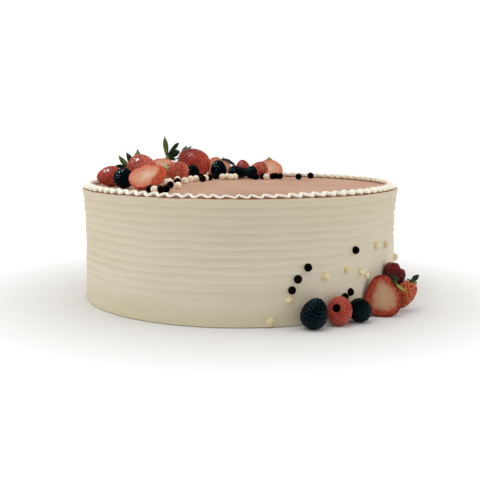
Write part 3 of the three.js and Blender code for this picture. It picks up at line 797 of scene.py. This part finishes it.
# %% Make the raspberries and brambles
RASPBERRIES = {
    "raspberry_1": ((0.95, 0.25, 0.1), 20, 16), "raspberry_2": ((0.1, 0.1, -1), 16.2, 14.4),
    "raspberry_3": ((0.7, 0.7, 0), 17, 14), "raspberry_4": ((0.5, -0.8, -0.2), 18, 15),
    "raspberry_5": ((0.8, 0.5, 0.1), 17, 14.5)}
BRAMBLES = {
    "bramble_1": ((0.35, 0.9, 0.05), 18, 15.8), "bramble_2": ((0.85, 0.4, 0.3), 15.4, 13.4),
    "bramble_3": ((0.08, 0.1, -1), 17, 15.6), "bramble_4": ((-0.95, 0.25, 0.05), 15, 11.8),
    "bramble_5": ((0.95, 0.1, 0), 12.8, 11.8), "bramble_6": ((0.9, -0.3, 0.1), 18, 15),
    "bramble_7": ((0.7, 0.6, 0), 16, 13), "bramble_8": ((-0.25, 0.25, -1), 22.3, 18.2),
    "bramble_9": ((0.3, 0.6, -0.6), 18.8, 16.4), "bramble_10": ((0.95, -0.1, 0.1), 14, 10)}
for table, size, height, finish, slot in (
        (RASPBERRIES, 2.5, 0.36, raspberry, "raspberry"), (BRAMBLES, 3.5, 1.0, bramble, "bramble")):
    for number, (name, (stem, long, wide)) in enumerate(table.items()):
        berry = drupelet_berry(long, wide, size, height, number)
        parts, _ = put_in_place(name, [berry], turning(stem))
        make_piece(name + "_fruit", parts, [finish], [name])
hollow = hollow_berry(long=17.5, wide=20.4, squeeze=0.85, size=2.4, seed=6)
parts, _ = put_in_place("raspberry_6", [hollow], turning((-0.26, -0.9, 0.36), (0, 0, -1)))
make_piece("raspberry_6_fruit", parts, [raspberry], ["raspberry_6"])

# %% [markdown]
# ## Whole strawberries
# A strawberry is a full-shouldered egg with a dimple under its leaves. Its seeds sit in small pits, spread
# in a spiral like the florets of a sunflower. The same spiral places both: the skin is pressed in around
# each place, and a tiny teardrop is set into the pit. The seeds have only a few faces each, because there
# are so many of them. Between the pits the skin is dimpled all over, and the wet ones lie under a coat of
# juice, whose many small highlights are what makes them look fresh.


# %% Skin of a strawberry and its seeds
def strawberry_points(way, turn, long, wide, taper, full):
    """An egg that is a little uneven round its axis, with a dimple at the stem end. A power of less than 1
    on its radius makes it fuller at both ends."""
    out, up = egg(np.pi * way, taper)
    out = np.clip(out, 0, None) ** full
    uneven = 1 + 0.03 * np.cos(2 * turn + long) + 0.025 * np.cos(3 * turn + wide)
    dimple = 0.08 * long * np.exp(-(((1 - way) / 0.1) ** 2))
    return ring_at(wide / 2 * out * uneven, turn, long / 2 * up - dimple)


def pitted(points, seeds, depth=0.5, reach=0.8):
    """Presses the skin in around each seed, most at its middle, towards the middle of the berry."""
    flat = points.reshape(-1, 3)
    away = np.linalg.norm(flat[:, None] - seeds[None], axis=2).min(axis=1)
    pit = np.exp(-((away / reach) ** 2))
    return (flat - unit(flat) * (depth * pit)[:, None]).reshape(points.shape), pit.reshape(points.shape[:2])


SEED_WIDTH = 0.6
SEED_HEIGHT = 0.54
SEED_LENGTH = 1.12


def seed_skins(places, outwards, along, depth=0.16):
    """Tiny teardrops lying in the skin: one ball of 6 sides and 4 rows, stretched and copied to every place
    by adding its points along three directions."""
    around = round_steps(6)
    down = np.linspace(0, np.pi, 5)[:, None]
    ball = stacked(
        SEED_WIDTH / 2 * np.sin(down) * np.cos(around) * (1 - 0.35 * np.cos(down)),
        SEED_HEIGHT / 2 * np.sin(down) * np.sin(around), SEED_LENGTH / 2 * np.cos(down))
    aside = np.cross(outwards, along)
    wide, high, long = (ball[..., axis, None] for axis in range(3))
    return [skin(place - depth * out + wide * side + high * out + long * ahead, material=1)
            for place, out, side, ahead in zip(places, outwards, aside, along)]


def slopes(surface, form, way, turn):
    """Outward direction and the direction towards the tip at places on a surface, from small steps."""
    here = surface(way, turn, *form)
    up = unit(surface(way - 0.01, turn, *form) - here)
    outwards = unit(np.cross(surface(way, turn + 0.01, *form) - here, up))
    return outwards * np.sign((outwards * here).sum(axis=1, keepdims=True)), up


def seeded(surface, form, ways, around, way, turn):
    """A surface pitted at the seeds' places, its pits as a mark, and the seeds themselves."""
    places = surface(ways, around, *form)
    points, pit = pitted(surface(way, turn, *form), places)
    return points, pit, seed_skins(places, *slopes(surface, form, ways, around))


def strawberry_parts(long, wide, taper, full=1.0, sides=112, rows=84):
    """The pitted skin and all of its seeds, none of them close to the tip or under the leaves."""
    ways, around = spiral(int(long * wide * 0.42))
    keep = (ways > 0.05) & (ways < 0.93)
    shaken = np.random.default_rng(int(10 * long)).uniform(-0.5, 0.5, (2, keep.sum()))
    ways = ways[keep] + shaken[0] / long
    around = around[keep] + shaken[1] * 1.6 / wide
    turn, way = grid(sides, rows)
    points, pit, seeds = seeded(strawberry_points, (long, wide, taper, full), ways, around, way, turn)
    return [skin(points, {"pit": pit, "way": way})] + seeds


# %% Finishes of strawberry skin and seeds
dimples, given, result = new_group("dimpled skin", {"Scale": 340.0, "Stretch Up": 1.0}, "Height")
place = drawn_place(dimples, given["Stretch Up"])
cells = node(
    dimples, "TexVoronoi", {"Vector": place, "Scale": given["Scale"], "Randomness": 0.8}, "Distance")
dimples.links.new(ramp(dimples, cells, (0.1, 0.0), (0.6, 1.0)), result["Height"])


def skin_colours(tree, red, deep, pale, tip, way):
    """Red that drifts into a deeper red, with painted light that brightens it towards the tip, mottled with
    a paler one towards the stem end, with painted shade in the pits and in the small dimples between them,
    and a painted highlight on the rims of the dimples."""
    tint = use_group(tree, drift, Colour=red, Other_Colour=deep, Scale=90.0)
    # Painted light: the colour brightens towards the tip, lifting the shaded lower part.
    tint = mixed(tree, ramp(tree, way, (0.1, 0.9), (0.6, 0.0)), tint, tip)
    mottle = noise(tree, own_place(tree), 330.0, 2.0)
    towards_stem = calculated(tree, "MULTIPLY_ADD", mottle, 0.4, calculated(tree, "SUBTRACT", way, 0.2))
    shoulder = mixed(tree, ramp(tree, towards_stem, (0.66, 0.0), (0.95, 0.8)), tint, pale)
    # Painted shade in the dimples and a painted highlight on their rims.
    hollows = use_group(tree, dimples, Scale=340.0)
    shoulder = mixed(tree, ramp(tree, hollows, (0.0, 0.85), (0.6, 0.0)), shoulder, deep)
    shoulder = mixed(tree, ramp(tree, hollows, (0.8, 0.0), (1.0, 0.25)), shoulder, pale)
    # Painted shade in the seed pits.
    pit = mixed(tree, 0.5, deep, shade(90, 12, 10))
    return mixed(tree, mark(tree, "pit"), shoulder, pit)


strawberry_skin, given, result = new_group(
    "strawberry skin", dict.fromkeys(("Red", "Deep", "Pale", "Tip"), WHITE), "Colour")
coloured = skin_colours(
    strawberry_skin, given["Red"], given["Deep"], given["Pale"], given["Tip"], mark(strawberry_skin, "way"))
strawberry_skin.links.new(coloured, result["Colour"])
DIMPLED = (340.0, 0.45, 0.6, 1.0)
ripe, bright, fresh, overripe = (
    food(name + " strawberry", 0.2, 0.15, DIMPLED, strawberry_skin, relief=dimples, wet=wet,
         Red=shade(*red), Deep=shade(*deep), Pale=shade(*pale), Tip=shade(*tip))
    # Each tip colour is painted light for the lower part of the berry.
    for name, wet, red, deep, pale, tip in (
        ("ripe", 0.5, (176, 46, 37), (116, 22, 21), (190, 78, 60), (214, 82, 62)),
        ("bright", 0.5, (208, 90, 68), (162, 48, 39), (232, 160, 128), (216, 96, 78)),
        ("fresh", 0.15, (210, 98, 60), (168, 62, 38), (224, 146, 98), (204, 84, 48)),
        ("overripe", 0.1, (118, 28, 28), (74, 14, 16), (158, 58, 52), (110, 22, 24))))
SEED = (300.0, 0.1, 0.3, 1.0)
straw_seed, brown_seed, dark_seed = (
    food(name, 0.4, 0.2, SEED, drift, Colour=colour, Other_Colour=other, Scale=200.0)
    for name, colour, other in (
        ("straw coloured seed", shade(240, 174, 144), shade(216, 132, 106)),
        ("brown seed", shade(104, 50, 28), shade(138, 72, 40)),
        ("dark red seed", shade(70, 24, 20), shade(110, 48, 34))))
print("skins:", [skin_finish.name for skin_finish in (ripe, bright, fresh, overripe)])

# %% Make the whole strawberries
STRAWBERRIES = {
    "strawberry_1": ((-0.8, 0.5, 0.12), 29.5, 26, 0.36, 1.0, bright, straw_seed),
    "strawberry_2": ((0.85, 0.45, -0.05), 23.5, 17.4, 0.25, 0.95, bright, straw_seed),
    "strawberry_3": ((-0.75, 0.45, 0.3), 32, 28, -0.2, 0.78, ripe, straw_seed),
    "strawberry_4": ((0.85, 0.5, 0.1), 19, 15, 0.2, 0.9, bright, straw_seed),
    "strawberry_5": ((0.36, 0, 0.9), 22.6, 14.6, 0.25, 1.0, fresh, brown_seed)}
shifts = {}
for name, (stem, long, wide, taper, full, finish, seeds) in STRAWBERRIES.items():
    parts, shifts[name] = put_in_place(name, strawberry_parts(long, wide, taper, full), turning(stem))
    make_piece(name + "_fruit", parts, [finish, seeds], [name])
lobes = moved(strawberry_parts(28.4, 13.6, 0.36), shift=(-1.6, -0.9, 14.2))
lobes += moved(strawberry_parts(16.6, 11.4, 0.36), shift=(3.2, -1.5, 15.3))
parts, _ = put_in_place("strawberry_6", lobes, turning((0.05, 0.05, 1)), measured=None)
make_piece("strawberry_6_fruit", parts, [overripe, dark_seed], ["strawberry_6"])

# %% [markdown]
# ## Cut strawberries
# A half shows its flat face: a pale core, fine fibres that run from it to the seeds, and a red edge that is
# just the skin seen from its side. Its outline is given by twelve radii round the face, joined by a smooth
# curve, and the skin arches behind it. On the face each point keeps its place as a mark, from 0 in the
# middle to 1 at the edge, so that the colours follow the outline however uneven it is. One half was cut
# askew, so that its skin bends round to the front at the lower right, and the mark's depth tells flesh from
# skin there. An egg cut by a plane, with a Boolean modifier, would give rounder faces than these uneven
# ones.


# %% Shape of a half
def round_outline(radii, turn):
    """A smooth closed curve through radii at even steps: between two of them, a cubic that also looks at
    the radius before and the one after."""
    radii = np.array(radii, float)
    step = np.mod(turn / (2 * np.pi) * len(radii), len(radii))
    start = np.floor(step).astype(int)
    part = step - start
    before, here, after, beyond = (radii[(start + k) % len(radii)] for k in (-1, 0, 1, 2))
    return here + 0.5 * part * (after - before + part * (
        2 * before - 5 * here + 4 * after - beyond + part * (3 * (here - after) + beyond - before)))


def on_half(reach, turn, back):
    """Points at a reach from the middle of the face and so far back from it. The turn runs clockwise from
    the top."""
    return stacked(reach * np.sin(turn), back, reach * np.cos(turn))


def bent_back(share, turn, askew):
    """How far a half that was cut askew bends back in front, in millimetres: nothing up to a straight line
    across the face, and from there more and more towards the edge. Askew is the direction, the place of
    that line and the depth at the edge. Also gives how far beyond the line a point lies, from 0 to 1."""
    direction, line, depth = askew
    beyond = np.clip((share * np.cos(turn - direction) - line) / (1 - line), 0, 1)
    return depth * beyond ** 1.3, beyond


def dome_points(way, turn, radii, deep, askew):
    """The skin behind the face: the outline shrinks by a cosine as the depth grows by a sine. The way runs
    from 0 at the edge of the face to 1 at the back."""
    reach = round_outline(radii, turn) * np.cos(np.pi / 2 * way)
    start = bent_back(1.0, turn, askew)[0]
    return on_half(reach, turn, start + (deep - start) * np.sin(np.pi / 2 * way))


def front_seeds(radii, askew):
    """Seeds in the skin that is bent to the front, in three rows beside the line where the bend starts."""
    direction, line, _ = askew
    along, across = (values.ravel() for values in np.meshgrid(np.linspace(-0.75, 0.75, 9), (0.3, 0.55, 0.8)))
    across = line + (1 - line) * across
    share = np.hypot(along, across)
    inner = share < 0.95
    turn = (direction + np.arctan2(along + 0.06 * (across > 0.75), across))[inner]
    share = share[inner]
    places = on_half(share * round_outline(radii, turn), turn, bent_back(share, turn, askew)[0])
    facing = np.broadcast_to([0.35 * np.sin(direction), -0.9, 0.35 * np.cos(direction)], places.shape)
    return seed_skins(places, facing, np.cross(facing, (0.0, 0.3, 1.0)), depth=0.12)


FACE_SHARES = np.append(0.08 * np.arange(11), (0.87, 0.93, 0.97, 0.985))[:, None]
NOT_ASKEW = (0, 0.9, 0)


def half_parts(radii, deep, askew=NOT_ASKEW, sides=112):
    """The cut face, sunk a little in its middle, the pitted skin behind it, and the seeds in that skin."""
    turn = round_steps(sides)
    edge = round_outline(radii, turn)
    bend, beyond = bent_back(FACE_SHARES, turn, askew)
    sunk = 0.35 * np.exp(-((FACE_SHARES / 0.3) ** 2)) + bend
    ways, around = spiral(int(1.6 * edge.mean() * deep))
    ways = np.clip(np.abs(ways - 0.5) * 2, 0.06, 0.97)
    way = np.linspace(0.02, 1, 34)[:, None]
    rind, pit, seeds = seeded(dome_points, (radii, deep, askew), ways, around, way, turn)
    flesh = 1 - np.clip(6 * beyond * (askew[2] > 0), 0, 1)
    on_face = np.concatenate([flesh, np.zeros_like(pit)])
    share = np.concatenate([np.broadcast_to(FACE_SHARES, sunk.shape), np.ones_like(pit)])
    pits = np.concatenate([np.zeros_like(sunk), pit])
    marks = {"cut_place": on_half(share, turn, on_face), "pit": pits, "way": np.full_like(pits, 0.5)}
    body = skin(np.concatenate([on_half(FACE_SHARES * edge, turn, sunk), rind]), marks)
    if askew[2]:
        seeds += front_seeds(radii, askew)
    return [body] + seeds


# %% Finish of the cut faces
cut_face, given, result = new_group("cut strawberry", {
    **dict.fromkeys(("Core", "Middle", "Outer", "Edge", "Fibre", "Skin", "Deep Skin"), WHITE),
    "Core Size": 0.5, "Step": 0.2, "Wobble": 0.4, "Narrow": 1.0, "Aside": 0.0,
    "Spots": 0.55, "Fibres": 0.6}, "Colour")
place = mark(cut_face, "cut_place", "Vector")
at = apart(cut_face, place)
flat = node(cut_face, "CombineXYZ", {"X": at["X"], "Z": at["Z"]})
from_middle = node(cut_face, "VectorMath", {0: flat}, "Value", operation="LENGTH")
heading = node(cut_face, "VectorMath", {0: flat}, operation="NORMALIZE")
fibres = noise(cut_face, heading, 7.0, 4.0)
cloud = noise(cut_face, place, 3.5, 3.0)
aside = calculated(cut_face, "SUBTRACT", at["X"], given["Aside"])
narrowed = node(cut_face, "CombineXYZ", {
    "X": calculated(cut_face, "MULTIPLY", aside, given["Narrow"]),
    "Z": calculated(cut_face, "SUBTRACT", at["Z"], given["Aside"])})
reach = node(cut_face, "VectorMath", {0: narrowed}, "Value", operation="LENGTH")
drifted = calculated(cut_face, "MULTIPLY", calculated(cut_face, "SUBTRACT", cloud, 0.5), given["Wobble"])
from_core = calculated(cut_face, "ADD", reach, drifted)
in_core = calculated(cut_face, "DIVIDE", from_core, given["Core Size"])
past_core = calculated(cut_face, "SUBTRACT", from_core, given["Core Size"])
colour = mixed(cut_face, in_core, given["Core"], given["Middle"])
colour = mixed(cut_face, calculated(cut_face, "DIVIDE", past_core, given["Step"]), colour, given["Outer"])
spots = ramp(cut_face, noise(cut_face, place, 9.0, 4.0, 0.65), (0.48, 0.0), (0.66, 1.0))
colour = mixed(cut_face, calculated(cut_face, "MULTIPLY", spots, given["Spots"]), colour, given["Outer"])
colour = mixed(cut_face, ramp(cut_face, from_middle, (0.84, 0.0), (0.975, 1.0)), colour, given["Edge"])
fibre_place = calculated(cut_face, "ADD", from_middle, drifted)
fibre_place = ramp(cut_face, fibre_place, (0.45, 0.0), (0.7, 1.0), (0.93, 0.7), (1.0, 0.0))
fibre_share = calculated(cut_face, "MULTIPLY", ramp(cut_face, fibres, (0.46, 0.0), (0.66, 1.0)), fibre_place)
fibre_share = calculated(cut_face, "MULTIPLY", fibre_share, given["Fibres"])
colour = mixed(cut_face, fibre_share, colour, given["Fibre"])
behind = skin_colours(cut_face, given["Skin"], given["Deep Skin"], given["Outer"], given["Skin"], 0.3)
cut_face.links.new(mixed(cut_face, at["Y"], behind, colour), result["Colour"])
print("nodes of the cut face:", len(cut_face.nodes))

# %% Three kinds of cut face
FLESH = (480.0, 0.3, 0.4, 1.0)
pale_cut = food(
    "pale cut strawberry", 0.2, 0.25, FLESH, cut_face, wet=0.4,
    Core=shade(234, 206, 180), Middle=shade(226, 172, 140), Outer=shade(216, 122, 88),
    Edge=shade(208, 80, 46), Fibre=shade(244, 208, 182), Skin=shade(216, 88, 54),
    Deep_Skin=shade(178, 56, 36), Core_Size=0.45, Step=0.35, Wobble=0.55, Narrow=1.2, Spots=0.6, Fibres=0.4)
rosy_cut = food(
    "rosy cut strawberry", 0.22, 0.22, FLESH, cut_face,
    Core=shade(250, 222, 196), Middle=shade(243, 188, 156), Outer=shade(234, 150, 116),
    Edge=shade(214, 108, 78), Fibre=shade(252, 226, 202), Skin=shade(200, 76, 56),
    Deep_Skin=shade(172, 50, 36), Core_Size=0.5, Step=0.35, Wobble=0.5, Narrow=1.1, Spots=0.45, Fibres=0.5)
deep_cut = food(
    "deep cut strawberry", 0.28, 0.16, FLESH, cut_face,
    Core=shade(206, 168, 134), Middle=shade(196, 152, 118), Outer=shade(164, 58, 40),
    Edge=shade(116, 32, 23), Fibre=shade(192, 104, 74), Skin=shade(154, 48, 34),
    Deep_Skin=shade(104, 28, 20), Core_Size=0.53, Step=0.25, Wobble=0.42, Narrow=1.05, Aside=0.05,
    Spots=0.12, Fibres=0.8)
print("cut faces:", pale_cut.name, rosy_cut.name, deep_cut.name, sep=", ")

# %% Make the halves
HALVES = {
    "half_1": ((0.85, 0.3, 0.4), (-0.3, -0.8, 0.5), (
        15.2, 13.8, 11.2, 9.9, 11.2, 13.3, 13.7, 12.9, 10.8, 9.0, 10.2, 10.2), 11.5, pale_cut),
    "half_2": ((0.3, 0.3, 0.85), (-0.2, -0.85, 0.35), (
        9.8, 10.8, 12, 12, 11.2, 10.4, 10.4, 11, 11.8, 12.6, 12, 9.8), 10, rosy_cut),
    "half_3": ((0.35, 0.25, 0.9), (0.05, -0.8, 0.5), (
        7.7, 8.8, 10.9, 11.7, 10.1, 9.7, 9.8, 12.6, 12.2, 11.7, 12.6, 10.4), 8, rosy_cut),
    "half_4": ((-0.1, 0.35, 0.9), (0.15, -0.95, 0.3), (
        7.5, 7.9, 9, 11.5, 13.1, 11.1, 9.2, 10.8, 13, 13, 10.6, 8.2), 10, rosy_cut),
    "half_5": ((0.62, 0.1, 0.75), (-0.12, -1, 0.15), (
        11.8, 11.9, 13.4, 15.2, 15.8, 15, 16, 15, 13.4, 13.2, 15.6, 15.2), 11, deep_cut)}
ASKEW = {"half_1": (0.7, 0.5, 4.0)}
for name, (stem, front, radii, deep, finish) in HALVES.items():
    parts = half_parts(radii, deep, ASKEW.get(name, NOT_ASKEW))
    parts, shifts[name] = put_in_place(name, parts, turning(stem, front))
    make_piece(name + "_fruit", parts, [finish, straw_seed], [name], crease=40)

# %% [markdown]
# ## Leaves
# Each little leaf runs from the stem end to its tip along a curve with one bend. It is widest a third of
# the way along, folded up a little along its middle, and wavy at its edges. Its section is a very flat lens
# carried along that curve, so the leaf is a closed skin like everything else, with a pole at each end. The
# place along and across is kept as a mark for the veins. A flat sheet with a Solidify modifier would do for
# one leaf, but its edges would be square. Each leaf's direction is given one by one, for the few that stand
# up.


# %% Shape of a leaf
def leaf(tip, wide, root, bow=None, across=None, shares=(0.4, 1, 0.75), seed=0, rows=26, sides=16):
    """Middle line: a quadratic curve from the root to the tip that bows along the stem. Section: half the
    width times a cosine aside, and a thin lens plus the fold and the waves upwards. The shares give the
    width at the root and at one and two thirds of the way."""
    tip = np.array(tip, float)
    length = np.linalg.norm(tip)
    bend = tip / 2 + np.array([0, 0, 0.15 * length if bow is None else bow])
    along = np.linspace(0, 1, rows)[:, None]
    line = 2 * along * (1 - along) * bend + along ** 2 * tip
    ahead = unit(2 * (1 - 2 * along) * bend + 2 * along * tip)
    across = np.cross((0, 0, 1), tip) if across is None else np.array(across, float)
    sideways = unit(across - (ahead @ across)[:, None] * ahead)
    upwards = np.cross(ahead, sideways)
    way = along[:, 0]
    knots = np.interp(way, (0, 1 / 3, 2 / 3, 1), (*shares, 0))
    half = wide / 2 * np.convolve(np.pad(knots, 3, mode="edge"), np.ones(7) / 7, mode="valid")
    half *= np.clip(6 * (1 - way), 0, 1) ** 0.5 * np.clip(8 * way + 0.4, 0, 1)
    half[[0, -1]] = 0
    around = round_steps(sides)
    wave = 0.22 * np.sin(9 * way + seed) * np.clip(half, 0, 1)
    aside = half[:, None] * np.cos(around)
    rise = 0.2 * np.abs(aside) + wave[:, None] * np.cos(around) ** 3
    rise = rise + 0.28 * np.clip(half / 0.6, 0, 1)[:, None] * np.sin(around)
    points = np.array(root) + line[:, None] + aside[..., None] * sideways[:, None]
    points = points + rise[..., None] * upwards[:, None]
    return skin(points, {"leaf_place": stacked(along, np.cos(around), np.zeros((rows, sides)))})


def knob(root):
    """The little disc where the leaves meet, with a short stub of the stem on it."""
    radii = np.array([0, 1.6, 2.0, 1.7, 0.9, 0.75, 0.7, 0])[:, None]
    levels = np.array([-1.2, -1.1, -0.3, 0.5, 0.8, 1.4, 1.9, 1.95])[:, None]
    return skin(ring_at(radii, round_steps(14), levels) + np.array(root))


# %% Finishes of the leaves
leaf_colours, given, result = new_group(
    "leaf with veins", dict.fromkeys(("Green", "Deep", "Vein"), WHITE), "Colour", "Height")
at = apart(leaf_colours, mark(leaf_colours, "leaf_place", "Vector"))
aside = calculated(leaf_colours, "ABSOLUTE", at["Y"])
slant = calculated(leaf_colours, "MULTIPLY_ADD", aside, -0.28, at["X"])
beat = calculated(leaf_colours, "SINE", calculated(leaf_colours, "MULTIPLY", slant, 46.0))
side_veins = ramp(leaf_colours, beat, (0.86, 0.0), (1.0, 0.45))
middle_vein = ramp(leaf_colours, aside, (0.05, 0.8), (0.14, 0.0))
veins = calculated(leaf_colours, "MAXIMUM", side_veins, middle_vein)
tint = use_group(leaf_colours, drift, Colour=given["Green"], Other_Colour=given["Deep"], Scale=170.0)
leaf_colours.links.new(mixed(leaf_colours, veins, tint, given["Vein"]), result["Colour"])
leaf_colours.links.new(veins, result["Height"])


def leaf_finish(name, green, deep, vein):
    """Green that darkens between pale veins: one vein down the middle, and side veins slanting off it."""
    material, tree, shader = new_finish(name, 0.36, 0.2)
    outputs = use_group(tree, leaf_colours, None, Green=green, Deep=deep, Vein=vein)
    tree.links.new(outputs["Colour"], shader.inputs["Base Color"])
    add_bump(tree, shader, outputs["Height"], 0.2, 0.5)
    return material


mid_green = leaf_finish("mid green leaf", shade(100, 122, 58), shade(66, 90, 40), shade(140, 156, 84))
dark_green = leaf_finish("dark green leaf", shade(34, 56, 30), shade(10, 28, 20), shade(64, 86, 44))
light_green = leaf_finish("light green leaf", shade(146, 160, 78), shade(98, 120, 54), shade(186, 194, 116))

# %% Make the leaves
FULL = (0.4, 1, 0.9)
BLUNT = (0.4, 0.8, 1)
LEAVES = {
    "strawberry_1": [
        ((-10.4, -1, 11), 5, mid_green, {"shares": FULL}),
        ((-5, 4, 13.6), 5.4, dark_green, {"bow": -4, "across": (0.8, 0, 0.6), "shares": FULL}),
        ((4.6, 6, 16.4), 8, mid_green, {"bow": -5, "across": (0.9, 0, 0.2)}),
        ((-13, -5, 2.4), 4.4, dark_green, {})],
    "strawberry_3": [
        ((6.2, 6, 11.6), 4, dark_green, {"across": (1, 0, -0.3), "shares": BLUNT}),
        ((11.4, 6, 11.4), 3, dark_green, {"across": (1, 0, -0.6), "shares": BLUNT}),
        ((-8, 4, -3), 5, dark_green, {})],
    "strawberry_5": [
        ((-4.4, -1, 1.2), 3, dark_green, {}), ((5.8, 0, 4.6), 4.4, dark_green, {"across": (-0.6, 0, 0.8)}),
        ((4.4, 1, -2.8), 3.4, light_green, {"across": (0.7, 0, 0.7)})],
    "half_1": [
        ((1.2, -1, -2.8), 1.3, light_green, {"across": (0, 0.3, 1)}), ((1, 3, 2.5), 2.6, dark_green, {})],
    "half_2": [
        ((-2.5, 0, 20.8), 5.4, mid_green, {"bow": -1, "across": (1, 0, 0), "shares": (0.25, 0.8, 1)}),
        ((11.4, 0, 14.2), 4.2, dark_green, {"bow": 5.5, "across": (0.7, 0, -0.7), "shares": (0.5, 1, 0.9)}),
        ((12.4, 0, 5.4), 7, dark_green, {"bow": 3.5, "across": (0.35, 0, -0.94), "shares": (0.5, 1, 0.9)}),
        ((7.6, -2, -3.4), 4.6, dark_green, {"bow": 3, "across": (0.35, 0, 0.94)})],
    "half_3": [
        ((12.6, -3, -6.6), 5.4, dark_green, {"bow": 1, "across": (0.2, 0.7, 0.7)}),
        ((4, 7, -1), 4, dark_green, {})],
    "half_4": [
        ((2.5, 0, 1.5), 1.6, light_green, {"across": (1, 0, 0)}), ((-5, 5, -3), 3, mid_green, {"bow": 0}),
        ((4, 7, -3), 3.4, mid_green, {})],
    "half_5": [
        ((-5.6, 1, 7.4), 2.2, dark_green, {"across": (0.6, -0.4, 0.6)}),
        ((9.4, -3, -7.2), 2.5, light_green, {"bow": -1.4, "across": (0.5, 0.3, 0.8)}),
        ((3, 7, 3), 4.4, dark_green, {})]}
for name, leaves in LEAVES.items():
    if name in HALVES:
        stem, front, radii, deep, _ = HALVES[name]
        turn = turning(stem, front)
        root = np.array([0, 0.25 * deep, radii[0] + 1.5])
    else:
        stem, long = STRAWBERRIES[name][:2]
        turn = turning(stem)
        root = np.array([0, 0, 0.42 * long + 1.5])
    finishes = list(dict.fromkeys(finish for _, _, finish, _ in leaves))
    parts = [knob(root)]
    for number, (tip, wide, finish, form) in enumerate(leaves):
        form = dict(form)
        if "across" in form:
            form["across"] = np.array(form["across"]) @ turn
        blade = leaf(np.array(tip) @ turn, wide, root, seed=number, **form)
        parts.append({**blade, "material": finishes.index(finish)})
    make_piece(name + "_leaves", moved(parts, turn, shifts[name]), finishes, [name + "_calyx"])

# %% [markdown]
# ## Floor and light
# A product photograph like this one is lit by a white tent: bright walls behind and beside the cake, and
# less light from the side of the camera. A world whose brightness falls off from the back to the front does
# that. The camera itself sees it plain white, and shiny skins mirror only a little of it, because otherwise
# the dark berries would turn grey. Large soft lamps above, in front and at both sides give the cake its
# form, and one small lamp that lights nothing else gives the wet fruit its sharp glints. The floor is a
# plain pale sheet that glows a little away from the cake: painted light, which leaves it darker near the
# cake.

# %% Lay the floor
FLOOR_HALF = 6.0
corners = [(x * FLOOR_HALF, y * FLOOR_HALF, 0) for x, y in ((-1, -1), (1, -1), (1, 1), (-1, 1))]
floor_mesh = bpy.data.meshes.new("floor")
floor_mesh.from_pydata(corners, [], [(0, 1, 2, 3)])
floor = bpy.data.objects.new("floor", floor_mesh)
floor.location.z = -0.3 * MM
bpy.context.scene.collection.objects.link(floor)
paper, tree, shader = new_finish("white paper", 0.8, 0.1)
shader.inputs["Base Color"].default_value = shade(232, 232, 232)
shader.inputs["Emission Color"].default_value = WHITE
away = node(tree, "VectorMath", {0: own_place(tree)}, "Value", operation="LENGTH")
# Painted light: the floor glows more away from the cake, so it is darker near the cake.
painted_glow = map_range(tree, away, 120 * MM, 340 * MM, 0.4, interpolation_type="SMOOTHSTEP")
tree.links.new(painted_glow, shader.inputs["Emission Strength"])
floor_mesh.materials.append(paper)
print("floor lies at", round(floor.location.z, 4))

# %% Light the tent
world = bpy.data.worlds.new("white tent")
bpy.context.scene.world = world
world.use_nodes = True
tree = world.node_tree
background = tree.nodes["Background"]
facing = apart(tree, node(tree, "TexCoord", output="Generated"))["Y"]
walls = ramp(
    tree, map_range(tree, facing, -0.9, 0.5),
    (0.0, (0.02, 0.019, 0.016, 1.0)), (0.3, (0.68, 0.67, 0.65, 1.0)),
    (0.7, (0.92, 0.91, 0.9, 1.0)), (1.0, (0.84, 0.84, 0.84, 1.0)))
paths = node(tree, "LightPath", output=None)
tree.links.new(mixed(tree, paths["Is Camera Ray"], walls, WHITE), background.inputs["Color"])
strength = calculated(tree, "MULTIPLY_ADD", paths["Is Glossy Ray"], -0.85, 1.05)
tree.links.new(strength, background.inputs["Strength"])
bpy.context.scene.view_settings.view_transform = "Standard"


# %% Set up the lamps
def soft_lamp(name, place, target, size, power, lights=True, glints=True):
    """A square area lamp that looks from its place to its target. Sizes are in metres, power in watts. A
    lamp can be left out of what is lit or of what shiny skins mirror."""
    lamp = bpy.data.lights.new(name, "AREA")
    lamp.shape = "SQUARE"
    lamp.size = size
    lamp.energy = power
    holder = bpy.data.objects.new(name, lamp)
    holder.location = place
    aim = np.array(target, float) - np.array(place, float)
    tilt = math.atan2(math.hypot(aim[0], aim[1]), -aim[2])
    holder.rotation_euler = (tilt, 0, math.atan2(aim[1], aim[0]) - math.pi / 2)
    holder.visible_diffuse = lights
    holder.visible_glossy = glints
    bpy.context.scene.collection.objects.link(holder)


soft_lamp("ceiling", (-0.1, -0.1, 1.3), (0, 0, 0.05), 0.9, 2.7, glints=False)
soft_lamp("small lamp", (-0.35, -0.5, 1.0), (0, 0, 0.08), 0.07, 0.9)
soft_lamp("front lamp", (0.1, -1.2, 0.2), (0, 0, 0.06), 0.3, 0.8, glints=False)
soft_lamp("left lamp", (-1.2, -0.3, 0.2), (0, 0, 0.06), 0.5, 2.0, glints=False)
soft_lamp("right lamp", (1.2, -0.3, 0.45), (0, 0, 0.06), 0.8, 2.1, glints=False)
soft_lamp("glint lamp", (-0.63, -0.08, 1.17), (0, 0, 0.1), 0.1, 20.0, lights=False)
print("lamps:", [lamp.name for lamp in bpy.data.lights])
